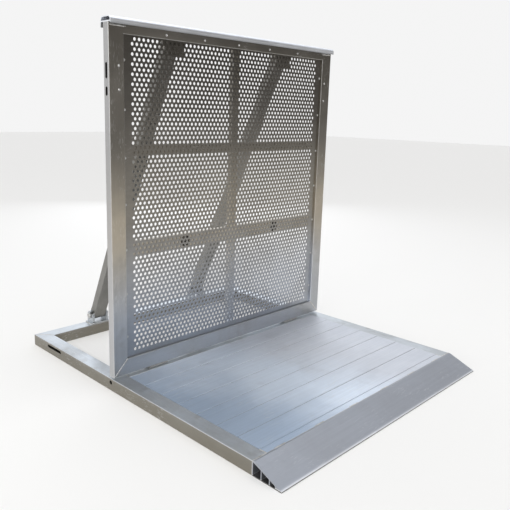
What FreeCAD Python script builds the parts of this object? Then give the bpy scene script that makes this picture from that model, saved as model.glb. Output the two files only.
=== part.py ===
import FreeCAD, Part

import math
import os
import re

import Sketcher
from FreeCAD import Placement, Rotation, Vector

# A folding crowd control barrier in welded aluminium. X runs along the fence line, -Y is the crowd's side
# and +Z is up. The origin is on the floor, under the middle of the barrier's bounding box.

doc = FreeCAD.newDocument("CrowdBarrier")
table = doc.addObject("Spreadsheet::Sheet", "Sizes")

sizes = [
    # overall
    ("width", 1000, "length of fence that one barrier makes"),
    ("length", 1200, "from the toe of the ramp to the rear of the base"),
    ("height", 1100, "floor to the top of the handrail"),
    # base frame
    ("base_tube_width", 50, "plan width of the side tubes and of the rear and hinge crossbars"),
    ("base_tube_height", 40, "height of the base frame and of the deck's surface"),
    ("base_wall", 3, "wall of the base tubes"),
    ("front_bar_width", 22, "plan width of the crossbar under the deck's front edge"),
    ("side_hole_radius", 6.5, "bolt hole in each side tube"),
    ("side_hole_setback", 500, "rear edge to the side tube's bolt hole"),
    ("side_slot_setback", 146, "rear edge to the middle of the side tube's slot"),
    ("side_slot_length", 92, "end to end"),
    ("side_slot_radius", 5, "half the slot's width"),
    ("side_hole_level", 27, "height of the holes and slots in the side tubes"),
    # deck and ramp
    ("plank_thickness", 25, "deck plank"),
    ("plank_wall", 2.5, "deck plank"),
    ("plank_chamfer", 1.2, "top edges of each plank"),
    ("plank_gap", 0.6, "seam between planks"),
    ("ledger_leg", 22, "angle that carries the plank ends"),
    ("ledger_wall", 3, "angle that carries the plank ends"),
    ("hinge_bar_lead", 10, "front face of the upright forward to the front of the hinge crossbar"),
    ("ramp_depth", 95, "front ramp"),
    ("ramp_wall", 3, "front ramp"),
    ("ramp_flat", 6, "level strip along the ramp's top edge"),
    ("toe_depth", 9, "thin lip along the ramp's toe"),
    ("toe_height", 4, "thickness of the toe"),
    ("toe_rise", 3, "how much thicker the lip is where the slope starts"),
    # upright frame
    ("upright_setback", 520, "rear edge of the base to the upright's front face"),
    ("upright_gap", 7, "from the deck to the underside of the upright"),
    ("post_width", 50, "face width of the posts"),
    ("post_depth", 26, "depth of the upright frame"),
    ("frame_wall", 3, "wall of the upright's outer tubes"),
    ("bottom_rail_height", 50, "face height"),
    ("top_rail_height", 28, "face height"),
    ("mid_rail_height", 30, "face height"),
    ("mid_rail_level", 734, "middle of the mid rail above the floor"),
    ("lower_rail_height", 48, "face height"),
    ("lower_rail_level", 438, "middle of the lower rail above the floor"),
    ("stile_width", 30, "face width of the centre stile"),
    ("inner_wall", 2, "wall of the rails and stiles behind the sheet"),
    ("post_slot_radius", 5, "half the width of the slots in the posts"),
    ("post_long_slot", 44, "end to end"),
    ("post_short_slot", 25, "end to end"),
    ("post_long_slot_drop", 144, "top of the handrail to the middle of the long slot"),
    ("post_short_slot_drop", 200, "top of the handrail to the middle of the short slot"),
    # perforated sheet
    ("sheet_recess", 8, "front face of the frame to the face of the sheet"),
    ("sheet_thickness", 2, "perforated sheet"),
    ("hole_radius", 5, "perforation"),
    ("hole_pitch", 16, "triangular pattern"),
    ("sheet_side_margin", 34, "least distance from the sheet's edge to a hole's centre at the sides"),
    ("sheet_bottom_margin", 22, "from the sheet's lower edge to the first row"),
    ("sheet_top_margin", 8, "least distance from the last row to the sheet's upper edge"),
    ("bead_size", 10, "square bar that the sheet's edges are riveted to"),
    # handrail
    ("handrail_width", 50, "front to back"),
    ("handrail_wall", 3, "handrail extrusion"),
    ("handrail_seat", 16, "top of the handrail down to its seat on the frame"),
    ("handrail_front_lip", 20, "top of the handrail down to its front lip"),
    ("handrail_rear_lip", 30, "top of the handrail down to its rear lip"),
    ("handrail_round", 12, "outer radius of the top edges"),
    # struts
    ("strut_offset", 250, "middle of the barrier to each strut"),
    ("strut_width", 50, "along the fence"),
    ("strut_depth", 30, "across the strut"),
    ("strut_wall", 3, "strut tube"),
    ("strut_pivot_drop", 55, "top of the handrail down to the upper pivot"),
    ("strut_pivot_standoff", 24, "rear face of the upright to the upper pivot"),
    ("foot_pivot_rise", 30, "top of the rear crossbar to the foot bolt"),
    ("eye_length", 26, "pivot to the end of the strut tube"),
    ("eye_plug_length", 22, "part of the end block inside the tube"),
    ("plug_clearance", 0.1, "between the end block and the inside of the tube"),
    ("ear_thickness", 8, "bracket ears"),
    ("ear_radius", 14, "rounded end of the upper bracket's ears"),
    ("foot_ear_radius", 19, "rounded top of the foot bracket's ears"),
    ("bracket_plate", 5, "back plate of both kinds of bracket"),
    ("bracket_margin", 6, "bracket plate outside the ears"),
    ("bracket_plate_drop", 4, "top of the upright frame down to the upper bracket's plate"),
    ("foot_plate_margin", 2, "foot bracket's plate inside the edges of the rear crossbar"),
    ("ear_clearance", 0.5, "each side of the strut between the ears"),
    ("bolt_radius", 6, "pivot bolts and foot bolts"),
    ("bolt_clearance", 0.08, "radial, where a strut turns on its upper bolt"),
    ("bolt_head_radius", 11, "over the corners of bolt heads and nuts"),
    ("bolt_head_height", 7, "bolt heads and nuts"),
    ("bolt_tail", 3, "thread showing beyond the nut"),
    ("head_clearance", 0.4, "between a bolt head or nut and the ear beside it"),
    ("foot_slot_clearance", 0.6, "radial, between the foot bolt and its slot"),
    ("foot_slot_lean", 38, "degrees that the foot slots lean forward from upright"),
    # hinges at the foot of the upright
    ("hinge_offset", 330, "middle of the barrier to each hinge"),
    ("hinge_length", 72, "along the pin"),
    ("hinge_knuckle", 18, "each of the two outer knuckles"),
    ("hinge_barrel_radius", 3.4, "knuckles"),
    ("hinge_pin_radius", 2, "hinge pin"),
    ("hinge_pin_clearance", 0.06, "radial"),
    ("hinge_leaf_thickness", 2, "leaves"),
    ("hinge_step", 2.5, "front face of the upright back to the hinge pin"),
    ("hinge_gap", 0.5, "between the knuckles, and from a leaf to the other's knuckle"),
    # rests that hold the folded struts
    ("rest_offset", 215, "middle of the barrier to the bolt of each strut rest"),
    ("rest_hole_radius", 18, "access hole in the lower rail"),
    ("rest_height", 40, "strut rest"),
    ("rest_thickness", 4, "strut rest"),
    ("rest_margin", 15, "from the rest's inner end to its bolt"),
    ("pad_thickness", 4.5, "rubber pad under the folded strut"),
    ("pad_margin", 5, "pad inside the strut's width and the rest's height"),
    ("rest_bolt_radius", 5, "bolt of the strut rest"),
    ("rest_head_radius", 8.5, "over the corners"),
    ("rest_head_height", 5, "bolt head and nut of the strut rest"),
    # small fasteners
    ("rivet_radius", 2, "shank"),
    ("rivet_head_radius", 4, "dome head"),
    ("rivet_head_height", 1.8, "dome head"),
    ("sheet_rivet_pitch", 120, "along the sheet's side edges"),
    ("rail_screw_pitch", 150, "along the top rail"),
    ("rail_screw_margin", 190, "least distance from the end of the top rail to a screw"),
    ("post_rivet_inset", 33, "outer side of each post to its rivets"),
    ("post_upper_rivet_drop", 130, "top of the handrail down to the upper rivet of each post"),
    ("post_lower_rivet_drop", 195, "top of the handrail down to the lower rivet of each post"),
    ("edge_round", 2, "outer long edges of the tubes"),
]
for row, (alias, value, note) in enumerate(sizes, 1):
    table.set(f"A{row}", alias)
    table.set(f"B{row}", str(value))
    table.set(f"C{row}", note)
    table.setAlias(f"B{row}", alias)
doc.recompute()

plankCount = 7
rampCellEnds = (0.3, 0.58, 0.78)    # where the ramp's three cells end, as shares of its depth
cutDepth = 1.5                      # how far a cut through a single wall goes, in walls

# Places that several pieces share, each worked out from the sizes above.
places = {
    "rear_edge": "length / 2",
    "ramp_top_edge": "-length / 2 + ramp_depth",
    "deck_front": "ramp_top_edge + front_bar_width",
    "front_face": "rear_edge - upright_setback",
    "rear_face": "front_face + post_depth",
    "hinge_bar_front": "front_face - hinge_bar_lead",
    "plank_pitch": f"(hinge_bar_front - deck_front) / {plankCount}",
    "inner_half": "width / 2 - base_tube_width",
    "frame_bottom": "base_tube_height + upright_gap",
    "frame_top": "height - handrail_seat",
    "opening_bottom": "frame_bottom + bottom_rail_height",
    "opening_top": "frame_top - top_rail_height",
    "opening_half": "width / 2 - post_width",
    "sheet_front": "front_face + sheet_recess",
    "sheet_back": "sheet_front + sheet_thickness",
    "inner_depth": "rear_face - sheet_back",
    "rail_half": "opening_half - bead_size",
    "top_pivot_y": "rear_face + strut_pivot_standoff",
    "top_pivot_z": "height - strut_pivot_drop",
    "foot_pivot_y": "rear_edge - base_tube_width / 2",
    "foot_pivot_z": "base_tube_height + foot_pivot_rise",
    "strut_run": "foot_pivot_y - top_pivot_y",
    "strut_rise": "top_pivot_z - foot_pivot_z",
    "strut_length": "sqrt(strut_run ^ 2 + strut_rise ^ 2)",
    "ear_inside": "strut_width / 2 + ear_clearance",
    "ear_outside": "ear_inside + ear_thickness",
    "bolt_head_inside": "ear_outside + head_clearance",
    "hinge_y": "front_face + hinge_step",
    "hinge_z": "base_tube_height + upright_gap / 2",
    "leaf_front": "hinge_y + hinge_barrel_radius + hinge_gap",
    "ramp_slope": "(base_tube_height - toe_height - toe_rise) / (ramp_depth - ramp_flat - toe_depth)",
}
aliases = {alias for alias, value, note in sizes}


def formula(text, sheetName="Sizes."):
    """Spell out the shared places and point each size at its cell."""
    def swap(match):
        word = match.group(0)
        if word in places:
            return "(" + formula(places[word], sheetName) + ")"
        if word in aliases:
            return sheetName + word
        return word
    return re.sub(r"[a-z_]+", swap, str(text))


def number(text):
    """What a formula comes to with the present sizes, worked out in a spare cell."""
    table.set("E1", "=" + formula(text, ""))
    table.recompute()
    return float(table.get("E1"))


def bind(thing, **values):
    """Bind properties to formulas; a double underscore in a name stands for a dot."""
    for name, text in values.items():
        thing.setExpression(name.replace("__", "."), formula(text))


def place(thing, x=0, y=0, z=0, turn=None):
    """Put a piece at a place made of formulas, with a fixed turn."""
    if turn is not None:
        thing.Placement = Placement(Vector(), turn)
    bind(thing, Placement__Base__x=x, Placement__Base__y=y, Placement__Base__z=z)
    return thing


def axes(x, z):
    """The turn that takes local X and Z to the two given directions."""
    return Rotation(x, z.cross(x), z, "ZXY")


right, back, up = Vector(1, 0, 0), Vector(0, 1, 0), Vector(0, 0, 1)
alongX = axes(up, right)            # a primitive's own Z runs along the barrier


# ---- primitives and booleans ----

def add(kind, label):
    thing = doc.addObject(kind, label)
    thing.Label = label
    return thing


def box(label, low, high):
    """A box between two corners of formulas."""
    thing = add("Part::Box", label)
    spans = [f"({b}) - ({a})" for a, b in zip(low, high)]
    bind(thing, Length=spans[0], Width=spans[1], Height=spans[2])
    return place(thing, *low)


def rod(label, radius, start, length, turn=alongX):
    thing = add("Part::Cylinder", label)
    bind(thing, Radius=radius, Height=length)
    return place(thing, *start, turn)


def hexagon(label, radius, start, height, turn=alongX):
    thing = add("Part::Prism", label)
    thing.Polygon = 6
    bind(thing, Circumradius=radius, Height=height)
    return place(thing, *start, turn)


def fuse(label, *pieces):
    thing = add("Part::MultiFuse", label)
    thing.Shapes = list(pieces)
    return thing


def cut(label, base, *tools):
    thing = add("Part::Cut", label)
    thing.Base = base
    thing.Tool = tools[0] if len(tools) == 1 else fuse(label + "_tools", *tools)
    return thing


def group(label, *pieces):
    """Loose identical pieces kept in one node."""
    thing = add("Part::Compound", label)
    thing.Links = list(pieces)
    return thing


# ---- bodies made from sketches ----

def startBody(label):
    return add("PartDesign::Body", label)


def startSketch(body, role):
    sketch = body.newObject("Sketcher::SketchObject", body.Label + "_sketch")
    plane = next(f for f in body.Origin.OriginFeatures if f.Role == role)
    sketch.AttachmentSupport = [(plane, "")]
    sketch.MapMode = "FlatFace"
    return sketch


def point(x, y):
    return Vector(number(x), number(y), 0)


def hold(sketch, kind, *what):
    """A dimension of a sketch; its last value is a formula."""
    *items, text = what
    index = sketch.addConstraint(Sketcher.Constraint(kind, *items, number(text)))
    sketch.setExpression(f"Constraints[{index}]", formula(text))


def pin(sketch, geometry, end, x, y):
    """Hold one point of a sketch at a place made of formulas."""
    hold(sketch, "DistanceX", -1, 1, geometry, end, x)
    hold(sketch, "DistanceY", -1, 1, geometry, end, y)


def polygon(sketch, corners):
    """A closed outline whose corners are formulas."""
    first = sketch.GeometryCount
    count = len(corners)
    starts = [point(*corner) for corner in corners]
    for i in range(count):
        sketch.addGeometry(Part.LineSegment(starts[i], starts[(i + 1) % count]), False)
    for i in range(count):
        sketch.addConstraint(Sketcher.Constraint("Coincident", first + i, 2, first + (i + 1) % count, 1))
    for i, (x, y) in enumerate(corners):
        pin(sketch, first + i, 1, x, y)


def circle(sketch, x, y, radius):
    ring = Part.Circle(point(x, y), up, number(radius))
    index = sketch.addGeometry(ring, False)
    hold(sketch, "Radius", index, radius)
    pin(sketch, index, 3, x, y)


def uprightSlot(sketch, x, y, length, radius):
    """A round-ended slot that runs along the sketch's own Y."""
    reach = f"(({length}) / 2 - ({radius}))"
    lowEnd, topEnd = f"({y}) - {reach}", f"({y}) + {reach}"
    rings = [Part.Circle(point(x, end), up, number(radius)) for end in (lowEnd, topEnd)]
    low = sketch.addGeometry(Part.ArcOfCircle(rings[0], math.pi, 2 * math.pi), False)
    top = sketch.addGeometry(Part.ArcOfCircle(rings[1], 0, math.pi), False)
    side, other = (sketch.addGeometry(Part.LineSegment(point(edge, lowEnd), point(edge, topEnd)), False)
                   for edge in (f"({x}) + ({radius})", f"({x}) - ({radius})"))
    for first, firstEnd, second, secondEnd in ((low, 2, side, 1), (top, 1, side, 2),
                                               (top, 2, other, 2), (low, 1, other, 1)):
        sketch.addConstraint(Sketcher.Constraint("Tangent", first, firstEnd, second, secondEnd))
    sketch.addConstraint(Sketcher.Constraint("Equal", low, top))
    hold(sketch, "Radius", low, radius)
    pin(sketch, low, 3, x, lowEnd)
    pin(sketch, top, 3, x, topEnd)


def pad(body, sketch, length):
    feature = body.newObject("PartDesign::Pad", body.Label + "_pad")
    feature.Profile = sketch
    bind(feature, Length=length)
    return feature


def pocket(body, sketch, length, backwards=False):
    feature = body.newObject("PartDesign::Pocket", body.Label + "_pocket")
    feature.Profile = sketch
    feature.Reversed = backwards
    bind(feature, Length=length)
    return feature


def roundEdges(body, feature, radius, wanted):
    """Round the edges of a feature that the test picks out."""
    doc.recompute()
    names = [f"Edge{i}" for i, edge in enumerate(feature.Shape.Edges, 1) if wanted(edge)]
    fillet = body.newObject("PartDesign::Fillet", body.Label + "_round")
    fillet.Base = (feature, names)
    bind(fillet, Radius=radius)
    return fillet


def rectangle(x, y, width, height):
    return [(x, y), (f"({x}) + ({width})", y), (f"({x}) + ({width})", f"({y}) + ({height})"),
            (x, f"({y}) + ({height})")]


def tube(label, width, depth, wall, length, nearMitre=None, farMitre=None, rounded=True):
    """A rectangular tube along its own Z. Its outer edge is at X = 0; a mitre runs back from there."""
    body = startBody(label)
    section = startSketch(body, "XY_Plane")
    polygon(section, rectangle(0, 0, width, depth))
    polygon(section, rectangle(wall, wall, f"{width} - 2 * ({wall})", f"({depth}) - 2 * ({wall})"))
    solid = pad(body, section, length)
    if rounded:
        doc.recompute()
        whole = solid.Shape.BoundBox

        def outerLong(edge):
            sides = edge.BoundBox
            onSide = min(sides.XMin - whole.XMin, whole.XMax - sides.XMax) < 1e-6
            onFace = min(sides.YMin - whole.YMin, whole.YMax - sides.YMax) < 1e-6
            return sides.ZLength > whole.ZLength / 2 and onSide and onFace
        roundEdges(body, solid, "edge_round", outerLong)
    for run, end, sign in ((nearMitre, "0", ""), (farMitre, length, "-")):
        if run is not None:
            corner = startSketch(body, "XZ_Plane")
            inner = f"({end}) {sign or '+'} ({run})"
            polygon(corner, [(0, end), (width, end), (width, inner)])
            pocket(body, corner, depth)
    return body


def sideOpenings(body, wall, depthMiddle, holes=(), slots=()):
    """Cut holes and slots through a tube's outer wall. They run along the tube."""
    sketch = startSketch(body, "YZ_Plane")
    for along, radius in holes:
        circle(sketch, depthMiddle, along, radius)
    for along, length, radius in slots:
        uprightSlot(sketch, depthMiddle, along, length, radius)
    pocket(body, sketch, f"{cutDepth} * {wall}", backwards=True)


# ---- base frame ----

sideLength = "rear_edge - (ramp_top_edge)"
for name, side in (("left", -1), ("right", 1)):
    body = tube(f"side_tube_{name}", "base_tube_width", "base_tube_height", "base_wall", sideLength,
                farMitre="base_tube_width")
    level = "base_tube_height - side_hole_level" if side < 0 else "side_hole_level"
    sideOpenings(body, "base_wall", level,
                 holes=[(f"{sideLength} - side_hole_setback", "side_hole_radius")],
                 slots=[(f"{sideLength} - side_slot_setback", "side_slot_length", "side_slot_radius")])
    # the left tube's own Y points down, the right tube's up, so that X = 0 is the outer wall on both
    place(body, f"{side} * width / 2", "ramp_top_edge", "base_tube_height" if side < 0 else 0,
          axes(right * -side, back))

rearBar = tube("rear_crossbar", "base_tube_width", "base_tube_height", "base_wall", "width",
               "base_tube_width", "base_tube_width")
place(rearBar, "-width / 2", "rear_edge", "base_tube_height", axes(-back, right))

hingeBar = tube("hinge_crossbar", "base_tube_width", "base_tube_height", "base_wall", "2 * (inner_half)")
place(hingeBar, "-(inner_half)", "hinge_bar_front + base_tube_width", "base_tube_height", axes(-back, right))

frontBar = tube("front_crossbar", "front_bar_width", "base_tube_height", "base_wall", "2 * (inner_half)")
place(frontBar, "-(inner_half)", "deck_front", "base_tube_height", axes(-back, right))

# ---- deck: hollow planks across the base, their ends on angles ----

for plank in range(plankCount):
    body = startBody(f"deck_plank_{plank + 1}")
    section = startSketch(body, "XY_Plane")
    span = "(plank_pitch - plank_gap)"
    polygon(section, [(0, 0), (span, 0), (span, "plank_thickness - plank_chamfer"),
                      (f"{span} - plank_chamfer", "plank_thickness"), ("plank_chamfer", "plank_thickness"),
                      (0, "plank_thickness - plank_chamfer")])
    cell = f"({span} - 3 * plank_wall) / 2"
    for start in ("plank_wall", f"2 * plank_wall + {cell}"):
        polygon(section, rectangle(start, "plank_wall", cell, "plank_thickness - 2 * plank_wall"))
    pad(body, section, "2 * (inner_half)")
    place(body, "-(inner_half)", f"deck_front + {plank} * (plank_pitch) + plank_gap / 2",
          "base_tube_height - plank_thickness", axes(back, right))

for name, side in (("left", -1), ("right", 1)):
    body = startBody(f"deck_ledger_{name}")
    section = startSketch(body, "XY_Plane")
    ledgerTop = "(base_tube_height - plank_thickness)"
    polygon(section, [(f"{-side} * {x}", y) for x, y in (
        (0, 0), ("ledger_wall", 0), ("ledger_wall", f"{ledgerTop} - ledger_wall"),
        ("ledger_leg", f"{ledgerTop} - ledger_wall"), ("ledger_leg", ledgerTop), (0, ledgerTop))])
    pad(body, section, "hinge_bar_front - (deck_front)")
    place(body, f"{side} * (inner_half)", "hinge_bar_front", 0, axes(right, -back))

# ---- front ramp: one hollow wedge with open ends ----

ramp = startBody("front_ramp")
section = startSketch(ramp, "XY_Plane")
polygon(section, [(0, 0), ("ramp_depth", 0), ("ramp_depth", "toe_height"),
                  ("ramp_depth - toe_depth", "toe_height + toe_rise"), ("ramp_flat", "base_tube_height"),
                  (0, "base_tube_height")])
slopeRoof = "base_tube_height - ramp_wall * sqrt(1 + (ramp_slope) ^ 2)"
start, startRoof = "ramp_wall", "base_tube_height - ramp_wall"
for share in rampCellEnds:
    end, nextStart = f"ramp_depth * {share}", f"ramp_depth * {share} + ramp_wall"
    endRoof, nextRoof = (f"{slopeRoof} - ramp_slope * ({run} - ramp_flat)" for run in (end, nextStart))
    polygon(section, [(start, "ramp_wall"), (end, "ramp_wall"), (end, endRoof), (start, startRoof)])
    start, startRoof = nextStart, nextRoof
pad(ramp, section, "width")
place(ramp, "width / 2", "ramp_top_edge", 0, axes(-back, -right))

# ---- upright frame ----

postLength = "(frame_top - (frame_bottom))"
for name, side in (("left", -1), ("right", 1)):
    body = tube(f"post_{name}", "post_width", "post_depth", "frame_wall", postLength,
                "bottom_rail_height", "top_rail_height")
    longSlot = "height - post_long_slot_drop - (frame_bottom)"
    shortSlot = "height - post_short_slot_drop - (frame_bottom)"
    sideOpenings(body, "frame_wall", "post_depth / 2",
                 slots=[(longSlot, "post_long_slot", "post_slot_radius"),
                        (shortSlot, "post_short_slot", "post_slot_radius")])
    place(body, f"{side} * width / 2", "front_face" if side < 0 else "rear_face", "frame_bottom",
          axes(right * -side, up))

bottomRail = tube("bottom_rail", "bottom_rail_height", "post_depth", "frame_wall", "width",
                  "post_width", "post_width")
place(bottomRail, "-width / 2", "rear_face", "frame_bottom", axes(up, right))

topRail = tube("top_rail", "top_rail_height", "post_depth", "frame_wall", "width", "post_width", "post_width")
place(topRail, "-width / 2", "front_face", "frame_top", axes(-up, right))

midRail = tube("mid_rail", "mid_rail_height", "inner_depth", "inner_wall", "2 * (rail_half)",
               rounded=False)
place(midRail, "-(rail_half)", "rear_face", "mid_rail_level - mid_rail_height / 2", axes(up, right))

lowerRail = tube("lower_rail", "lower_rail_height", "inner_depth", "inner_wall", "2 * (rail_half)",
                 rounded=False)
access = startSketch(lowerRail, "XZ_Plane")
for side in (-1, 1):
    circle(access, "lower_rail_height / 2", f"rail_half + {side} * rest_offset", "rest_hole_radius")
pocket(lowerRail, access, f"{cutDepth} * inner_wall")
restHoles = startSketch(lowerRail, "XZ_Plane")
for side in (-1, 1):
    circle(restHoles, "lower_rail_height / 2", f"rail_half + {side} * rest_offset",
           "rest_bolt_radius + plug_clearance")
pocket(lowerRail, restHoles, "inner_depth")
place(lowerRail, "-(rail_half)", "sheet_back", "lower_rail_level + lower_rail_height / 2", axes(-up, right))

stileEnds = [("lower", "opening_bottom", "lower_rail_level - lower_rail_height / 2"),
             ("middle", "lower_rail_level + lower_rail_height / 2", "mid_rail_level - mid_rail_height / 2"),
             ("upper", "mid_rail_level + mid_rail_height / 2", "opening_top")]
for name, low, high in stileEnds:
    body = tube(f"centre_stile_{name}", "stile_width", "inner_depth", "inner_wall", f"({high}) - ({low})",
                rounded=False)
    place(body, "-stile_width / 2", "sheet_back", low, axes(right, up))

for name, side in (("left", -1), ("right", 1)):
    outer = f"{side} * (opening_half)"
    inner = f"{side} * ((opening_half) - bead_size)"
    low, high = (outer, inner) if side < 0 else (inner, outer)
    box(f"sheet_bead_{name}", (low, "sheet_back", "opening_bottom"),
        (high, "sheet_back + bead_size", "opening_top"))

# ---- handrail: a rounded cap with a closed hollow, whose lips hang past the frame ----

handrail = startBody("handrail")
section = startSketch(handrail, "XY_Plane")
half = "handrail_width / 2"
inside = "(handrail_width / 2 - handrail_wall)"
hollowFloor = "-handrail_seat + handrail_wall"
polygon(section, [(f"-{half}", "-handrail_front_lip"), (f"-{inside}", "-handrail_front_lip"),
                  (f"-{inside}", "-handrail_seat"), (inside, "-handrail_seat"),
                  (inside, "-handrail_rear_lip"), (half, "-handrail_rear_lip"), (half, 0), (f"-{half}", 0)])
polygon(section, [(f"-{inside}", hollowFloor), (inside, hollowFloor),
                  (inside, "-handrail_wall"), (f"-{inside}", "-handrail_wall")])
bar = pad(handrail, section, "width")
top = roundEdges(handrail, bar, "handrail_round",
                 lambda edge: edge.BoundBox.ZLength > 1 and edge.BoundBox.YMin > -1e-6
                 and abs(edge.BoundBox.XMin) > table.handrail_width / 2 - 1e-6)
roundEdges(handrail, top, "handrail_round - handrail_wall",
           lambda edge: edge.BoundBox.ZLength > 1 and abs(edge.BoundBox.YMin + table.handrail_wall) < 1e-6
           and abs(abs(edge.BoundBox.XMin) - table.handrail_width / 2 + table.handrail_wall) < 1e-6)
place(handrail, "-width / 2", "front_face + post_depth / 2", "height", axes(back, right))

# ---- perforated sheet: one plate, its holes in a triangular pattern about the middle ----


def perforatedSheet():
    halfWidth = table.width / 2 - table.post_width
    low = table.base_tube_height + table.upright_gap + table.bottom_rail_height
    high = table.height - table.handrail_seat - table.top_rail_height
    front = table.length / 2 - table.upright_setback + table.sheet_recess
    rowPitch = table.hole_pitch * math.sqrt(3) / 2
    firstRow = low + table.sheet_bottom_margin
    rowCount = 1 + int((high - table.sheet_top_margin - firstRow) / rowPitch)
    reach = int((halfWidth - table.sheet_side_margin + 1e-6) / table.hole_pitch)
    edges = [low] + [firstRow + (row - 0.5) * rowPitch for row in range(1, rowCount)] + [high]
    faces = []
    for row in range(rowCount):
        bottom, top = edges[row], edges[row + 1]
        corners = [Vector(x, front, z) for x, z in ((-halfWidth, bottom), (halfWidth, bottom),
                                                    (halfWidth, top), (-halfWidth, top))]
        outline = Part.makePolygon(corners + corners[:1])
        if row % 2:
            columns = [column + 0.5 for column in range(-reach, reach)]
        else:
            columns = range(-reach, reach + 1)
        level = firstRow + row * rowPitch
        middles = [Vector(column * table.hole_pitch, front, level) for column in columns]
        rings = [Part.Wire(Part.Circle(middle, back, table.hole_radius).toShape()) for middle in middles]
        strip = Part.makeFace([outline] + rings, "Part::FaceMakerBullseye")
        for face in strip.extrude(back * table.sheet_thickness).Faces:
            flat = face.Surface.TypeId == "Part::GeomPlane" and abs(face.normalAt(0, 0).z) > 0.9
            seam = flat and low + 1e-3 < face.CenterOfMass.z < high - 1e-3
            if not seam:
                faces.append(face)
    skin = Part.makeCompound(faces)
    skin.sewShape()
    return Part.makeSolid(skin.Shells[0])


sheet = add("Part::Feature", "perforated_sheet")
sheet.Shape = perforatedSheet()

# ---- hinges at the foot of the upright ----

for name, side in (("left", -1), ("right", 1)):
    start = f"{side} * hinge_offset - hinge_length / 2"
    end = f"{side} * hinge_offset + hinge_length / 2"
    innerStart = f"{start} + hinge_knuckle"
    innerEnd = f"{end} - hinge_knuckle"
    leafTop = "base_tube_height + hinge_leaf_thickness"
    baseLeaf = [box(f"base_leaf_plate_{name}", (start, "leaf_front", "base_tube_height"),
                    (end, "rear_face", leafTop))]
    for tag, low in (("a", start), ("b", innerEnd)):
        baseLeaf.append(box(f"base_leaf_tongue_{tag}_{name}", (low, "hinge_y", "base_tube_height"),
                            (f"{low} + hinge_knuckle", "leaf_front", leafTop)))
        baseLeaf.append(rod(f"base_knuckle_{tag}_{name}", "hinge_barrel_radius", (low, "hinge_y", "hinge_z"),
                            "hinge_knuckle"))
    cut(f"hinge_base_leaf_{name}", fuse(f"base_leaf_blank_{name}", *baseLeaf),
        rod(f"base_leaf_bore_{name}", "hinge_pin_radius", (start, "hinge_y", "hinge_z"), "hinge_length"))

    leafBottom = "frame_bottom - hinge_leaf_thickness"
    knuckleStart = f"{innerStart} + hinge_gap"
    knuckleEnd = f"{innerEnd} - hinge_gap"
    frameLeaf = [box(f"frame_leaf_plate_{name}", (start, "leaf_front", leafBottom),
                     (end, "rear_face", "frame_bottom")),
                 box(f"frame_leaf_tongue_{name}", (knuckleStart, "hinge_y", leafBottom),
                     (knuckleEnd, "leaf_front", "frame_bottom")),
                 rod(f"frame_knuckle_{name}", "hinge_barrel_radius", (knuckleStart, "hinge_y", "hinge_z"),
                     f"({knuckleEnd}) - ({knuckleStart})")]
    cut(f"hinge_frame_leaf_{name}", fuse(f"frame_leaf_blank_{name}", *frameLeaf),
        rod(f"frame_leaf_bore_{name}", "hinge_pin_radius + hinge_pin_clearance",
            (start, "hinge_y", "hinge_z"), "hinge_length"))
group("hinge_pins", *[rod(f"hinge_pin_{name}", "hinge_pin_radius",
                          (f"{side} * hinge_offset - hinge_length / 2", "hinge_y", "hinge_z"), "hinge_length")
                      for name, side in (("left", -1), ("right", 1))])

# ---- strut brackets ----


def earPair(name, side, low, high, label):
    """Two ears beside the strut, each between the given low and high corners in Y and Z."""
    middle = f"{side} * strut_offset"
    pairs = ((f"{middle} - (ear_outside)", f"{middle} - (ear_inside)"),
             (f"{middle} + ear_inside", f"{middle} + ear_outside"))
    return [box(f"{label}_{tag}_{name}", (near, *low), (far, *high)) for tag, (near, far) in zip("ab", pairs)]


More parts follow.
